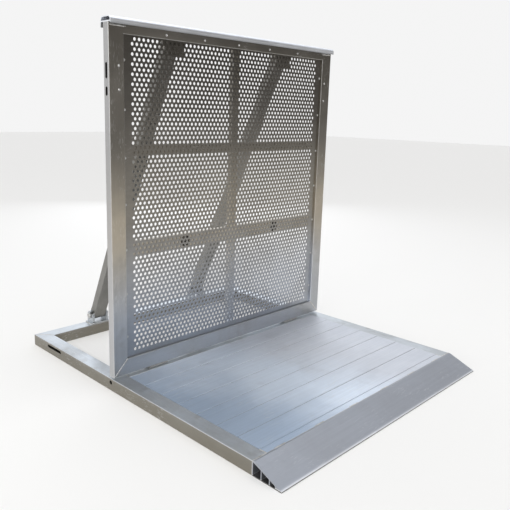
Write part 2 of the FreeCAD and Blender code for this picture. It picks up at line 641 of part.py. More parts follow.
for name, side in (("left", -1), ("right", 1)):
    middle = f"{side} * strut_offset"
    outer = "(ear_outside + bracket_margin)"
    across = "2 * (ear_outside)"

    # upper bracket, on the rear of the top rail
    plate = box(f"bracket_plate_{name}",
                (f"{middle} - {outer}", "rear_face", "top_pivot_z - 2 * ear_radius"),
                (f"{middle} + {outer}", "rear_face + bracket_plate", "frame_top - bracket_plate_drop"))
    ears = earPair(name, side, ("rear_face + bracket_plate", "top_pivot_z - ear_radius"),
                   ("top_pivot_y", "top_pivot_z + ear_radius"), "bracket_ear")
    rounds = [rod(f"bracket_round_{tag}_{name}", "ear_radius", (low, "top_pivot_y", "top_pivot_z"),
                  "ear_thickness")
              for tag, low in (("a", f"{middle} - (ear_outside)"), ("b", f"{middle} + ear_inside"))]
    start = (f"{middle} - (ear_outside)", "top_pivot_y", "top_pivot_z")
    cut(f"strut_bracket_{name}", fuse(f"bracket_blank_{name}", plate, *ears, *rounds),
        rod(f"bracket_bore_{name}", "bolt_radius", start, across))

    # foot bracket, on the rear crossbar: its slots are open towards the front so that the foot can lift out
    plate = box(f"foot_plate_{name}",
                (f"{middle} - {outer}", "rear_edge - base_tube_width + foot_plate_margin",
                 "base_tube_height"),
                (f"{middle} + {outer}", "rear_edge - foot_plate_margin", "base_tube_height + bracket_plate"))
    ears = earPair(name, side, ("foot_pivot_y - foot_ear_radius", "base_tube_height + bracket_plate"),
                   ("foot_pivot_y + foot_ear_radius", "foot_pivot_z"), "foot_ear")
    rounds = [rod(f"foot_round_{tag}_{name}", "foot_ear_radius", (low, "foot_pivot_y", "foot_pivot_z"),
                  "ear_thickness")
              for tag, low in (("a", f"{middle} - (ear_outside)"), ("b", f"{middle} + ear_inside"))]
    seat = rod(f"foot_seat_{name}", "bolt_radius + foot_slot_clearance",
               (f"{middle} - (ear_outside)", "foot_pivot_y", "foot_pivot_z"), across)
    slotHalf = "(bolt_radius + foot_slot_clearance)"
    mouth = add("Part::Box", f"foot_mouth_{name}")
    bind(mouth, Length=across, Width=f"2 * {slotHalf}", Height="3 * foot_ear_radius")
    place(mouth, f"{middle} - (ear_outside)", f"foot_pivot_y - {slotHalf} * cos(foot_slot_lean * 1 deg)",
          f"foot_pivot_z - {slotHalf} * sin(foot_slot_lean * 1 deg)", Rotation(right, table.foot_slot_lean))
    cut(f"foot_bracket_{name}", fuse(f"foot_blank_{name}", plate, *ears, *rounds), seat, mouth)

# ---- pivot bolts at the top and foot bolts at the bottom of the struts ----


def bolt(label, side, y, z):
    """A hexagon-headed bolt along X through both ears, its head on the outer side."""
    middle = f"{side} * strut_offset"
    headEnd = f"{middle} + {side} * (bolt_head_inside)"
    reach = "bolt_head_inside + bolt_head_height + bolt_tail"
    low = f"{middle} - (bolt_head_inside)" if side < 0 else f"{middle} - ({reach})"
    head = hexagon(f"{label}_head", "bolt_head_radius",
                   (headEnd if side > 0 else f"{headEnd} - bolt_head_height", y, z), "bolt_head_height")
    shank = rod(f"{label}_shank", "bolt_radius", (low, y, z), f"bolt_head_inside + {reach}")
    return fuse(label, shank, head)


def nut(label, side, y, z):
    middle = f"{side} * strut_offset"
    low = f"{middle} + bolt_head_inside" if side < 0 else f"{middle} - (bolt_head_inside) - bolt_head_height"
    blank = hexagon(f"{label}_blank", "bolt_head_radius", (low, y, z), "bolt_head_height")
    bore = rod(f"{label}_bore", "bolt_radius + plug_clearance", (low, y, z), "bolt_head_height")
    return cut(label, blank, bore)


def eye(label, side, sign, y, z, bore):
    """A solid end block: round about its pivot, then a plug that fills the end of the strut tube."""
    halfWidth = "(strut_width / 2)"
    halfDepth = "(strut_depth / 2)"
    plugWidth = f"({halfWidth} - strut_wall - plug_clearance)"
    plugDepth = f"({halfDepth} - strut_wall - plug_clearance)"
    span = ("0", "eye_length") if sign > 0 else ("-eye_length", "0")
    reach = "eye_length + eye_plug_length"
    plugSpan = ("0", reach) if sign > 0 else (f"-({reach})", "0")
    block = box(f"{label}_block", (f"-{halfWidth}", f"-{halfDepth}", span[0]),
                (halfWidth, halfDepth, span[1]))
    plug = box(f"{label}_plug", (f"-{plugWidth}", f"-{plugDepth}", plugSpan[0]),
               (plugWidth, plugDepth, plugSpan[1]))
    start = (f"-{halfWidth}", 0, 0)
    blank = fuse(f"{label}_blank", block, plug, rod(f"{label}_round", halfDepth, start, "strut_width"))
    body = cut(label, blank, rod(f"{label}_bore", bore, start, "strut_width"))
    return lean(body, f"{side} * strut_offset", y, z)


def lean(body, x, y, z):
    """Turn a piece so that its own Z runs up a strut."""
    place(body, x, y, z, Rotation(right, 1))
    bind(body, Placement__Rotation__Angle="atan(strut_run / strut_rise)")
    return body


nuts = []
for name, side in (("left", -1), ("right", 1)):
    eye(f"strut_top_eye_{name}", side, -1, "top_pivot_y", "top_pivot_z", "bolt_radius + bolt_clearance")
    eye(f"strut_foot_eye_{name}", side, 1, "foot_pivot_y", "foot_pivot_z", "bolt_radius + bolt_clearance")
    body = tube(f"strut_tube_{name}", "strut_width", "strut_depth", "strut_wall",
                "(strut_length) - 2 * eye_length")
    leanSine = "(strut_run) / (strut_length)"
    leanCosine = "(strut_rise) / (strut_length)"
    lean(body, f"{side} * strut_offset - strut_width / 2",
         f"foot_pivot_y - strut_depth / 2 * {leanCosine} - eye_length * {leanSine}",
         f"foot_pivot_z - strut_depth / 2 * {leanSine} + eye_length * {leanCosine}")
    bolt(f"pivot_bolt_{name}", side, "top_pivot_y", "top_pivot_z")
    bolt(f"foot_bolt_{name}", side, "foot_pivot_y", "foot_pivot_z")
    nuts.append(nut(f"pivot_nut_{name}", side, "top_pivot_y", "top_pivot_z"))
    nut(f"foot_nut_{name}", side, "foot_pivot_y", "foot_pivot_z")
group("pivot_nuts", *nuts)

# ---- rests behind the lower rail that the folded struts lie on ----

pads = []
restBolts = []
restBack = "(rear_face + rest_thickness)"
for name, side in (("left", -1), ("right", 1)):
    near = f"{side} * (rest_offset - rest_margin)"
    far = f"{side} * (strut_offset + strut_width / 2)"
    low, high = (far, near) if side < 0 else (near, far)
    plate = box(f"rest_plate_{name}", (low, "rear_face", "lower_rail_level - rest_height / 2"),
                (high, restBack, "lower_rail_level + rest_height / 2"))
    start = (f"{side} * rest_offset", "sheet_back", "lower_rail_level")
    cut(f"strut_rest_{name}", plate, rod(f"rest_bore_{name}", "rest_bolt_radius + plug_clearance", start,
                                         f"{restBack} - (sheet_back)", axes(right, back)))
    middle = f"{side} * strut_offset"
    padHalf = "strut_width / 2 - pad_margin"
    padRise = "(rest_height / 2 - pad_margin)"
    padLow = (f"{middle} - ({padHalf})", restBack, f"lower_rail_level - {padRise}")
    padHigh = (f"{middle} + {padHalf}", f"{restBack} + pad_thickness", f"lower_rail_level + {padRise}")
    pads.append(box(f"rest_pad_{name}", padLow, padHigh))
    x, z = f"{side} * rest_offset", "lower_rail_level"
    headY = "rear_face - inner_wall - rest_head_height"
    shank = rod(f"rest_shank_{name}", "rest_bolt_radius", (x, headY, z),
                "2 * rest_head_height + inner_wall + rest_thickness", axes(right, back))
    ends = [hexagon(f"rest_{end}_{name}", "rest_head_radius", (x, endY, z), "rest_head_height",
                    axes(right, back)) for end, endY in (("head", headY), ("nut", restBack))]
    restBolts.append(fuse(f"rest_bolt_{name}", shank, *ends))
group("strut_rest_pads", *pads)
group("strut_rest_bolts", *restBolts)

# ---- rivet heads and screw heads ----


def heads(label, places, front):
    """A node of dome heads that stand on a face looking forwards."""
    shapes = []
    for x, z in places:
        outer, crown = table.rivet_head_radius, table.rivet_radius
        shapes.append(Part.makeCone(outer, crown, table.rivet_head_height, Vector(x, front, z), -back))
    thing = add("Part::Feature", label)
    thing.Shape = Part.makeCompound(shapes)


frontFace = table.length / 2 - table.upright_setback
openingBottom = table.base_tube_height + table.upright_gap + table.bottom_rail_height
openingTop = table.height - table.handrail_seat - table.top_rail_height
beadLine = table.width / 2 - table.post_width - table.bead_size / 2
rivetCount = int((openingTop - openingBottom) / table.sheet_rivet_pitch)
rivetPitch = (openingTop - openingBottom) / rivetCount
heads("sheet_rivets", [(side * beadLine, openingBottom + (i + 0.5) * rivetPitch)
                       for side in (-1, 1) for i in range(rivetCount)], frontFace + table.sheet_recess)

railLine = openingTop + (table.height - table.handrail_front_lip - openingTop) / 2
screwReach = int((table.width / 2 - table.rail_screw_margin) / table.rail_screw_pitch)
heads("handrail_screws", [(i * table.rail_screw_pitch, railLine) for i in range(-screwReach, screwReach + 1)],
      frontFace)

postLine = table.width / 2 - table.post_rivet_inset
heads("post_rivets", [(side * postLine, table.height - drop) for side in (-1, 1)
                      for drop in (table.post_upper_rivet_drop, table.post_lower_rivet_drop)], frontFace)

# ---- check every object and write the pieces ----

doc.recompute()
for thing in doc.Objects:
    if "Invalid" in thing.State or "Error" in thing.State:
        raise RuntimeError(f"{thing.Label} failed: {thing.State}")

names = ["side_tube_left", "side_tube_right", "rear_crossbar", "hinge_crossbar", "front_crossbar"]
names += [f"deck_plank_{plank + 1}" for plank in range(plankCount)]
names += ["front_ramp", "bottom_rail", "top_rail", "mid_rail", "lower_rail", "perforated_sheet", "handrail"]
names += [f"centre_stile_{name}" for name, low, high in stileEnds]
names += [f"{piece}_{name}" for name in ("left", "right") for piece in (
    "deck_ledger", "post", "sheet_bead", "hinge_base_leaf", "hinge_frame_leaf", "strut_bracket",
    "foot_bracket", "strut_top_eye", "strut_foot_eye", "strut_tube", "pivot_bolt", "foot_bolt",
    "foot_nut", "strut_rest")]
names += ["hinge_pins", "pivot_nuts", "strut_rest_pads", "strut_rest_bolts", "sheet_rivets",
          "handrail_screws", "post_rivets"]

os.makedirs("parts", exist_ok=True)
for name in names:
    piece = doc.getObjectsByLabel(name)[0]
    if piece.Shape.isNull() or not piece.Shape.isValid():
        raise RuntimeError(f"{name} has no valid shape")
    piece.Shape.exportStep(f"parts/{name}.step")
    bounds = piece.Shape.BoundBox
    print(f"{name}: {len(piece.Shape.Solids)} solids, x {bounds.XMin:.1f}..{bounds.XMax:.1f}, "
          f"y {bounds.YMin:.1f}..{bounds.YMax:.1f}, z {bounds.ZMin:.1f}..{bounds.ZMax:.1f}, "
          f"volume {piece.Shape.Volume / 1000:.1f} cm3")
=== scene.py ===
import math

import bmesh
import bpy
from mathutils import Matrix, Vector


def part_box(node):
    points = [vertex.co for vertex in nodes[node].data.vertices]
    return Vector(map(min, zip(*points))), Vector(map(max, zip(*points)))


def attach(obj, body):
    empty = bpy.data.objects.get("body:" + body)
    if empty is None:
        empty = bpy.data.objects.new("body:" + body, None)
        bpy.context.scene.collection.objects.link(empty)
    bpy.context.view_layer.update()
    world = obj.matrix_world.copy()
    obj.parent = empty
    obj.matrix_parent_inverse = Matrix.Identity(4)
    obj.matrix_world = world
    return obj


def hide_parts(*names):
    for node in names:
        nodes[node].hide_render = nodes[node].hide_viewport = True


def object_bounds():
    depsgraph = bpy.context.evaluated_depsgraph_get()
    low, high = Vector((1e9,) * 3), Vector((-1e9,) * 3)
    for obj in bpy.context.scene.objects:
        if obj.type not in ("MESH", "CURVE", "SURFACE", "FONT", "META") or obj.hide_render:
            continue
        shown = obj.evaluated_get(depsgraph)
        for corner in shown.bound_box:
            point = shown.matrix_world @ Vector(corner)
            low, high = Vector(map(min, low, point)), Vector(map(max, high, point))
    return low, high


# A folding aluminium crowd barrier: perforated upright, plank deck, front ramp and two rear struts.

print("loading the frame")
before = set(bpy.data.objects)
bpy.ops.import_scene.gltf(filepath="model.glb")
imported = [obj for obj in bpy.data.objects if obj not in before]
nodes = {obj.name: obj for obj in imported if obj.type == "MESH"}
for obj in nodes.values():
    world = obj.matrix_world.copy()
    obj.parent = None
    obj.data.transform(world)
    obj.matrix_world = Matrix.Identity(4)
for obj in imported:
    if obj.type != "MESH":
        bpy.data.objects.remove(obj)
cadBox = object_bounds()
sides = ("left", "right")


def nodeBox(name):
    low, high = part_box(name)
    return low, high, (low + high) / 2


# node tree helpers

def addNode(tree, kind, values=None, **settings):
    node = tree.nodes.new(kind)
    for name, value in settings.items():
        setattr(node, name, value)
    for name, value in (values or {}).items():
        if isinstance(value, bpy.types.NodeSocket):
            tree.links.new(value, node.inputs[name])
        else:
            node.inputs[name].default_value = value
    return node


def mathNode(tree, operation, *values, clamp=False):
    node = tree.nodes.new("ShaderNodeMath")
    node.operation = operation
    node.use_clamp = clamp
    for i, value in enumerate(values):
        if isinstance(value, bpy.types.NodeSocket):
            tree.links.new(value, node.inputs[i])
        else:
            node.inputs[i].default_value = value
    return node.outputs[0]


def mixColour(tree, factor, a, b):
    node = tree.nodes.new("ShaderNodeMix")
    node.data_type = "RGBA"
    for i, value in ((0, factor), (6, a), (7, b)):
        if isinstance(value, bpy.types.NodeSocket):
            tree.links.new(value, node.inputs[i])
        elif i == 0:
            node.inputs[i].default_value = value
        else:
            node.inputs[i].default_value = (*value, 1)
    return node.outputs[2]


def vectorMath(tree, operation, *values):
    node = addNode(tree, "ShaderNodeVectorMath", dict(enumerate(values)), operation=operation)
    return node.outputs[0]


def ramp(tree, value, low, high):
    # 0 below low, 1 above high, with a smooth change between
    return addNode(tree, "ShaderNodeMapRange", {"Value": value, "From Min": low, "From Max": high},
                   interpolation_type="SMOOTHSTEP").outputs[0]


def noise(tree, place, scale, detail, **more):
    return addNode(tree, "ShaderNodeTexNoise",
                   {"Vector": place, "Scale": scale, "Detail": detail, **more}).outputs["Fac"]


def objectPlace(tree):
    return addNode(tree, "ShaderNodeTexCoord").outputs["Object"]


def alongX(tree, value):
    return addNode(tree, "ShaderNodeCombineXYZ", {"X": value}).outputs[0]


def alongY(tree, value):
    return addNode(tree, "ShaderNodeCombineXYZ", {"Y": value}).outputs[0]


def newGroup(name, kind, inputs, outputs):
    tree = bpy.data.node_groups.new(name, kind)
    for label, socketKind, default in inputs:
        socket = tree.interface.new_socket(label, in_out="INPUT", socket_type=socketKind)
        if default is not None:
            socket.default_value = default
    for label, socketKind in outputs:
        tree.interface.new_socket(label, in_out="OUTPUT", socket_type=socketKind)
    return tree, tree.nodes.new("NodeGroupInput"), tree.nodes.new("NodeGroupOutput")


# shader groups shared by the metals

print("building the shader groups")
patterns = {"coarseScale": 0.13, "cloudRoughness": 0.62, "blotchScale": 4.3, "blotchEdge": (0.56, 0.72),
            "secondScuffs": -0.6, "scuffEdge": (0.64, 0.7), "patchScale": 9.0, "patchEdge": (0.45, 0.62),
            "wearScale": 70.0, "leastWear": 0.2, "toneScale": 6.0}


def brushedGrainGroup():
    # fine drawing lines along one axis: stretch is large across the lines and small along them
    tree, ins, outs = newGroup("brushedGrain", "ShaderNodeTree",
                               [("Stretch", "NodeSocketVector", (30, 900, 900)),
                                ("Contrast", "NodeSocketFloat", 1.0)],
                               [("Mask", "NodeSocketFloat"), ("Coarse", "NodeSocketFloat")])
    place = objectPlace(tree)
    stretched = vectorMath(tree, "MULTIPLY", place, ins.outputs["Stretch"])
    fine = noise(tree, stretched, 1.0, 3.0, Roughness=0.6)
    wide = noise(tree, stretched, patterns["coarseScale"], 2.0)
    centred = mathNode(tree, "SUBTRACT", fine, 0.5)
    scaled = mathNode(tree, "MULTIPLY_ADD", centred, ins.outputs["Contrast"], 0.5, clamp=True)
    tree.links.new(scaled, outs.inputs["Mask"])
    tree.links.new(wide, outs.inputs["Coarse"])
    return tree


def cloudGroup():
    # soft handling marks and oxide, larger than the grain
    tree, ins, outs = newGroup("handlingClouds", "ShaderNodeTree",
                               [("Scale", "NodeSocketFloat", 5.0), ("Spread", "NodeSocketFloat", 0.15)],
                               [("Mask", "NodeSocketFloat"), ("Blotch", "NodeSocketFloat")])
    place = objectPlace(tree)
    cloud = noise(tree, place, ins.outputs["Scale"], 5.0, Roughness=patterns["cloudRoughness"],
                  Distortion=0.4)
    low = mathNode(tree, "SUBTRACT", 0.5, ins.outputs["Spread"])
    high = mathNode(tree, "ADD", 0.5, ins.outputs["Spread"])
    blotchScale = mathNode(tree, "MULTIPLY", ins.outputs["Scale"], patterns["blotchScale"])
    blotch = noise(tree, place, blotchScale, 3.0)
    tree.links.new(ramp(tree, cloud, low, high), outs.inputs["Mask"])
    tree.links.new(ramp(tree, blotch, *patterns["blotchEdge"]), outs.inputs["Blotch"])
    return tree


def scuffGroup():
    # thin scratches that run mostly along one axis, in broken patches
    tree, ins, outs = newGroup("scuffLines", "ShaderNodeTree",
                               [("Stretch", "NodeSocketVector", (8, 160, 160)),
                                ("Turn", "NodeSocketVector", (0, 0, 0.3)),
                                ("Amount", "NodeSocketFloat", 0.5)],
                               [("Mask", "NodeSocketFloat")])
    place = objectPlace(tree)
    lines = None
    for share in (1, patterns["secondScuffs"]):
        turn = addNode(tree, "ShaderNodeVectorMath", {0: ins.outputs["Turn"], "Scale": share},
                       operation="SCALE")
        spun = addNode(tree, "ShaderNodeVectorRotate", {"Vector": place, "Rotation": turn.outputs[0]},
                       rotation_type="EULER_XYZ")
        stretched = vectorMath(tree, "MULTIPLY", spun.outputs[0], ins.outputs["Stretch"])
        thin = ramp(tree, noise(tree, stretched, 1.0, 1.0), *patterns["scuffEdge"])
        lines = thin if lines is None else mathNode(tree, "MAXIMUM", lines, thin)
    patches = ramp(tree, noise(tree, place, patterns["patchScale"], 2.0), *patterns["patchEdge"])
    broken = mathNode(tree, "MULTIPLY", lines, patches)
    amount = mathNode(tree, "MULTIPLY", broken, ins.outputs["Amount"], clamp=True)
    tree.links.new(amount, outs.inputs["Mask"])
    return tree


def edgeWearGroup():
    # bright rubbed edges of a box-shaped tube, from the distance to its two nearest faces
    tree, ins, outs = newGroup("edgeWear", "ShaderNodeTree",
                               [("Low", "NodeSocketVector", (0, 0, 0)),
                                ("High", "NodeSocketVector", (1, 1, 1)),
                                ("Width", "NodeSocketFloat", 0.003)], [("Mask", "NodeSocketFloat")])
    place = objectPlace(tree)
    fromLow = vectorMath(tree, "SUBTRACT", place, ins.outputs["Low"])
    fromHigh = vectorMath(tree, "SUBTRACT", ins.outputs["High"], place)
    nearest = vectorMath(tree, "MINIMUM", fromLow, fromHigh)
    x, y, z = addNode(tree, "ShaderNodeSeparateXYZ", {"Vector": nearest}).outputs
    pairs = [mathNode(tree, "MAXIMUM", a, b) for a, b in ((x, y), (y, z), (x, z))]
    second = mathNode(tree, "MINIMUM", mathNode(tree, "MINIMUM", pairs[0], pairs[1]), pairs[2])
    rough = mathNode(tree, "ADD", noise(tree, place, patterns["wearScale"], 3.0), patterns["leastWear"])
    reach = mathNode(tree, "MULTIPLY", ins.outputs["Width"], rough)
    share = mathNode(tree, "DIVIDE", second, reach)
    tree.links.new(ramp(tree, share, 1.0, 0.0), outs.inputs["Mask"])
    return tree


def threeBandsAndPaintedLightGroup():
    # three colours that follow each other along a direction, with a ragged change between them; on most
    # metals they are painted reflection, highlight and shade
    tree, ins, outs = newGroup("threeBandsAndPaintedLight", "ShaderNodeTree",
                               [("Direction", "NodeSocketVector", (0, 0, 1)),
                                ("Low", "NodeSocketFloat", 0.0), ("Middle", "NodeSocketFloat", 0.5),
                                ("High", "NodeSocketFloat", 1.0), ("Ragged", "NodeSocketFloat", 0.1),
                                ("Low Colour", "NodeSocketColor", None),
                                ("Middle Colour", "NodeSocketColor", None),
                                ("High Colour", "NodeSocketColor", None)],
                               [("Colour", "NodeSocketColor")])
    place = objectPlace(tree)
    along = addNode(tree, "ShaderNodeVectorMath", {0: place, 1: ins.outputs["Direction"]},
                    operation="DOT_PRODUCT")
    centred = mathNode(tree, "SUBTRACT", noise(tree, place, patterns["toneScale"], 3.0), 0.5)
    offset = mathNode(tree, "MULTIPLY", centred, ins.outputs["Ragged"])
    where = mathNode(tree, "ADD", along.outputs["Value"], offset)
    colour = ins.outputs["Low Colour"]
    for start, end in (("Low", "Middle"), ("Middle", "High")):
        share = ramp(tree, where, ins.outputs[start], ins.outputs[end])
        colour = mixColour(tree, share, colour, ins.outputs[end + " Colour"])
    tree.links.new(colour, outs.inputs["Colour"])
    return tree


brushedGrain, handlingClouds, scuffLines, edgeWear, threeBandsAndPaintedLight = (
    brushedGrainGroup(), cloudGroup(), scuffGroup(), edgeWearGroup(), threeBandsAndPaintedLightGroup())


def useGroup(tree, group, **values):
    node = tree.nodes.new("ShaderNodeGroup")
    node.node_tree = group
    for name, value in values.items():
        node.inputs[name].default_value = value
    return node


# surface looks, with painted reflection, highlight and shade in their colour bands

# how the grain's noise and the scuffs' slant are set for each drawing direction
grainAlong = {"x": (25, 1100, 1100), "y": (1100, 25, 1100), "z": (1100, 1100, 25)}
scuffTurn = {"x": (0, 0.12, 0.25), "y": (0.12, 0, 0.25), "z": (0.2, 0.2, 0)}
# colour bands: direction, three places along it, how ragged the change is, and the three colours; on the
# frame, posts, sheet, base, deck, ramp and handrail they are painted reflection, highlight and shade
surfaceLooksAndPaintedLight = {
    # painted reflection on the frame and posts: bluish towards the bottom, tan in the middle and dark
    # towards the top
    "frame": {"colourBandsAndPaintedLight": ((0, 0, 1), (0.15, 0.50, 0.78), 0.12,
                        ((0.52, 0.545, 0.585), (0.49, 0.435, 0.35), (0.215, 0.20, 0.175))),
              "stain": (0.30, 0.28, 0.25), "tint": 0.35, "roughness": 0.36, "grainRoughness": 0.12,
              "bump": 0.10, "scuffs": 0.25, "clouds": 4.0, "wear": 0.35},
    # painted reflection on the base tubes: their top faces painted light and bluish, their sides darker
    "base": {"colourBandsAndPaintedLight": ((0, 0, 1), (0.030, 0.0385, 0.0390), 0.0004,
                       ((0.27, 0.255, 0.22), (0.31, 0.295, 0.265), (0.64, 0.68, 0.72))),
             "stain": (0.23, 0.21, 0.175), "tint": 0.3, "roughness": 0.38, "grainRoughness": 0.14,
             "bump": 0.12, "scuffs": 0.3, "clouds": 5.0, "wear": 0.35},
    # painted reflection on the sheet: bluish towards the bottom and dark brown towards the top
    "sheet": {"colourBandsAndPaintedLight": ((0, 0, 1), (0.16, 0.55, 0.95), 0.15,
                        ((0.39, 0.415, 0.46), (0.29, 0.27, 0.235), (0.155, 0.145, 0.13))),
              "stain": (0.20, 0.185, 0.165), "tint": 0.35, "roughness": 0.32, "grainRoughness": 0.10,
              "bump": 0.05, "scuffs": 0.12, "clouds": 2.5, "wear": 0.0},
    # painted reflection on the deck: darker and bluish at the left end, lightest near x = -0.2, a little
    # dimmer towards the right
    "deck": {"colourBandsAndPaintedLight": ((1, 0.3, 0), (-0.5, -0.2, 0.15), 0.25,
                       ((0.47, 0.56, 0.68), (0.76, 0.825, 0.91), (0.68, 0.70, 0.745))),
             "stain": (0.42, 0.44, 0.47), "tint": 0.18, "roughness": 0.52, "grainRoughness": 0.14,
             "bump": 0.12, "scuffs": 0.3, "clouds": 3.0, "wear": 0.08},
    # painted shadow and highlight on the ramp: a dark band at its foot for the shade under the toe, and
    # a bright band just above it for a highlight along the toe
    "ramp": {"colourBandsAndPaintedLight": ((0, 0, 1), (0.0028, 0.0042, 0.0062), 0.0004,
                       ((0.14, 0.135, 0.13), (0.80, 0.81, 0.83), (0.40, 0.415, 0.45))),
             "stain": (0.34, 0.34, 0.35), "tint": 0.2, "roughness": 0.46, "grainRoughness": 0.10,
             "bump": 0.10, "scuffs": 0.2, "clouds": 4.0, "wear": 0.5},
    "joint": {"colourBandsAndPaintedLight": ((1, 0, 0), (-0.5, 0.0, 0.5), 0.3,
                        ((0.32, 0.35, 0.40), (0.42, 0.45, 0.49), (0.50, 0.51, 0.54))),
              "stain": (0.12, 0.11, 0.10), "tint": 0.4, "roughness": 0.6, "grainRoughness": 0.1,
              "bump": 0.1, "scuffs": 0.0, "clouds": 12.0, "wear": 0.0},
    # painted highlight and shade on the handrail: bright and bluish along its top, darker below
    "handrail": {"colourBandsAndPaintedLight": ((0, 0, 1), (1.072, 1.081, 1.085), 0.002,
                           ((0.50, 0.51, 0.53), (0.66, 0.68, 0.71), (0.90, 0.92, 0.96))),
                 "stain": (0.55, 0.55, 0.56), "tint": 0.12, "roughness": 0.40, "grainRoughness": 0.08,
                 "bump": 0.05, "scuffs": 0.2, "clouds": 5.0, "wear": 0.3},
    "strut": {"colourBandsAndPaintedLight": ((0, 0, 1), (0.1, 0.5, 0.9), 0.2,
                        ((0.27, 0.265, 0.25), (0.27, 0.265, 0.25), (0.24, 0.235, 0.225))),
              "stain": (0.17, 0.165, 0.15), "tint": 0.35, "roughness": 0.36, "grainRoughness": 0.12,
              "bump": 0.10, "scuffs": 0.25, "clouds": 6.0, "wear": 0.0},
    "steel": {"colourBandsAndPaintedLight": ((0, 0, 1), (0.0, 0.5, 1.0), 0.3,
                        ((0.62, 0.62, 0.61), (0.60, 0.60, 0.59), (0.55, 0.545, 0.53))),
              "stain": (0.36, 0.33, 0.29), "tint": 0.3, "roughness": 0.38, "grainRoughness": 0.1,
              "bump": 0.15, "scuffs": 0.2, "clouds": 40.0, "wear": 0.0},
}
# what the metals share; bumpDepth and wearWidth are in metres, and where the posts' painted end-face
# light begins is a place on x
marks = {"grainContrast": 1.2, "cloudSpread": 0.16, "blotchTint": 0.7, "streak": 0.16,
         "cloudRoughness": 0.10, "leastRoughness": 0.12, "bumpDepth": 0.0006,
         "scuffColour": (0.74, 0.74, 0.73), "wearColour": (0.82, 0.82, 0.81), "wearWidth": 0.0035,
         "wearPolish": -0.2, "paintedLightEndFaceFrom": (0.4990, 0.4997), "paintedLightEndFaceTint": 0.8,
         "scuffStretch": 0.25, "leastStretch": 5, "plainSpread": 0.2, "plainRoughness": 0.15}
# surface looks without a drawn grain
plainFinishes = {
    "padRubber": {"metallic": 0.0, "clouds": 60.0, "dullest": "Mask", "roughness": 0.6,
                  "colours": ((0.022, 0.022, 0.023), (0.05, 0.048, 0.045)),
                  "grit": 900.0, "gritDetail": 2.0, "bump": 0.3, "bumpDepth": 0.0004},
    "weldBead": {"metallic": 1.0, "clouds": 45.0, "dullest": "Blotch", "roughness": 0.42,
                 "colours": ((0.72, 0.71, 0.69), (0.45, 0.43, 0.40)),
                 "grit": 700.0, "gritDetail": 3.0, "bump": 0.4, "bumpDepth": 0.0005},
}


def startMaterial(name, metallic):
    material = bpy.data.materials.new(name)
    material.use_nodes = True
    shader = material.node_tree.nodes["Principled BSDF"]
    shader.inputs["Metallic"].default_value = metallic
    return material, material.node_tree, shader


def finishMaterial(tree, shader, colour, roughness, height, strength, distance):
    bump = addNode(tree, "ShaderNodeBump",
                   {"Height": height, "Strength": strength, "Distance": distance})
    tree.links.new(colour, shader.inputs["Base Color"])
    tree.links.new(roughness, shader.inputs["Roughness"])
    tree.links.new(bump.outputs[0], shader.inputs["Normal"])


def metalMaterial(name, kind, along, low=None, high=None):
    look = surfaceLooksAndPaintedLight[kind]
    material, tree, shader = startMaterial(name, 1.0)
    grain = useGroup(tree, brushedGrain, Stretch=grainAlong[along], Contrast=marks["grainContrast"])
    clouds = useGroup(tree, handlingClouds, Scale=look["clouds"], Spread=marks["cloudSpread"])
    stretch = tuple(max(marks["leastStretch"], v * marks["scuffStretch"]) for v in grainAlong[along])
    # colour bands along a direction: painted reflection, highlight and shade on most metals, plain
    # colour on the rest
    direction, places, ragged, colours = look["colourBandsAndPaintedLight"]
    colourBandsAndPaintedLight = useGroup(tree, threeBandsAndPaintedLight, Direction=direction, Ragged=ragged)
    for label, place, tone in zip(("Low", "Middle", "High"), places, colours):
        colourBandsAndPaintedLight.inputs[label].default_value = place
        colourBandsAndPaintedLight.inputs[label + " Colour"].default_value = (*tone, 1)
    scuffs = useGroup(tree, scuffLines, Stretch=stretch, Turn=scuffTurn[along], Amount=look["scuffs"])
    colour = colourBandsAndPaintedLight.outputs["Colour"]
    for output, share in (("Mask", look["tint"]), ("Blotch", look["tint"] * marks["blotchTint"])):
        stained = mathNode(tree, "MULTIPLY", clouds.outputs[output], share)
        colour = mixColour(tree, stained, colour, look["stain"])
    streak = mathNode(tree, "MULTIPLY_ADD", grain.outputs["Coarse"], marks["streak"],
                      -marks["streak"] / 2)
    lifted = addNode(tree, "ShaderNodeHueSaturation",
                     {"Color": colour, "Value": mathNode(tree, "ADD", streak, 1.0)})
    colour = mixColour(tree, scuffs.outputs["Mask"], lifted.outputs["Color"], marks["scuffColour"])
    roughness = mathNode(tree, "MULTIPLY_ADD", grain.outputs["Mask"], look["grainRoughness"],
                         look["roughness"] - look["grainRoughness"] / 2)
    roughness = mathNode(tree, "MULTIPLY_ADD", clouds.outputs["Mask"], marks["cloudRoughness"],
                         roughness)
    if "paintedLightEndFace" in look:
        # painted light: the posts' outer end faces are painted lighter than the front, as the side the
        # light falls on
        across = addNode(tree, "ShaderNodeSeparateXYZ", {"Vector": objectPlace(tree)}).outputs["X"]
        outward = ramp(tree, mathNode(tree, "ABSOLUTE", across), *marks["paintedLightEndFaceFrom"])
        colour = mixColour(tree, mathNode(tree, "MULTIPLY", outward, marks["paintedLightEndFaceTint"]), colour,
                           look["paintedLightEndFace"])
    if low is not None:
        wear = useGroup(tree, edgeWear, Low=low, High=high, Width=marks["wearWidth"])
        rubbed = mathNode(tree, "MULTIPLY", wear.outputs["Mask"], look["wear"])
        colour = mixColour(tree, rubbed, colour, marks["wearColour"])
        roughness = mathNode(tree, "MULTIPLY_ADD", rubbed, marks["wearPolish"], roughness)
    height = mathNode(tree, "SUBTRACT", grain.outputs["Mask"], scuffs.outputs["Mask"])
    finishMaterial(tree, shader, colour, mathNode(tree, "MAXIMUM", roughness, marks["leastRoughness"]),
                   height, look["bump"], marks["bumpDepth"])
    return material


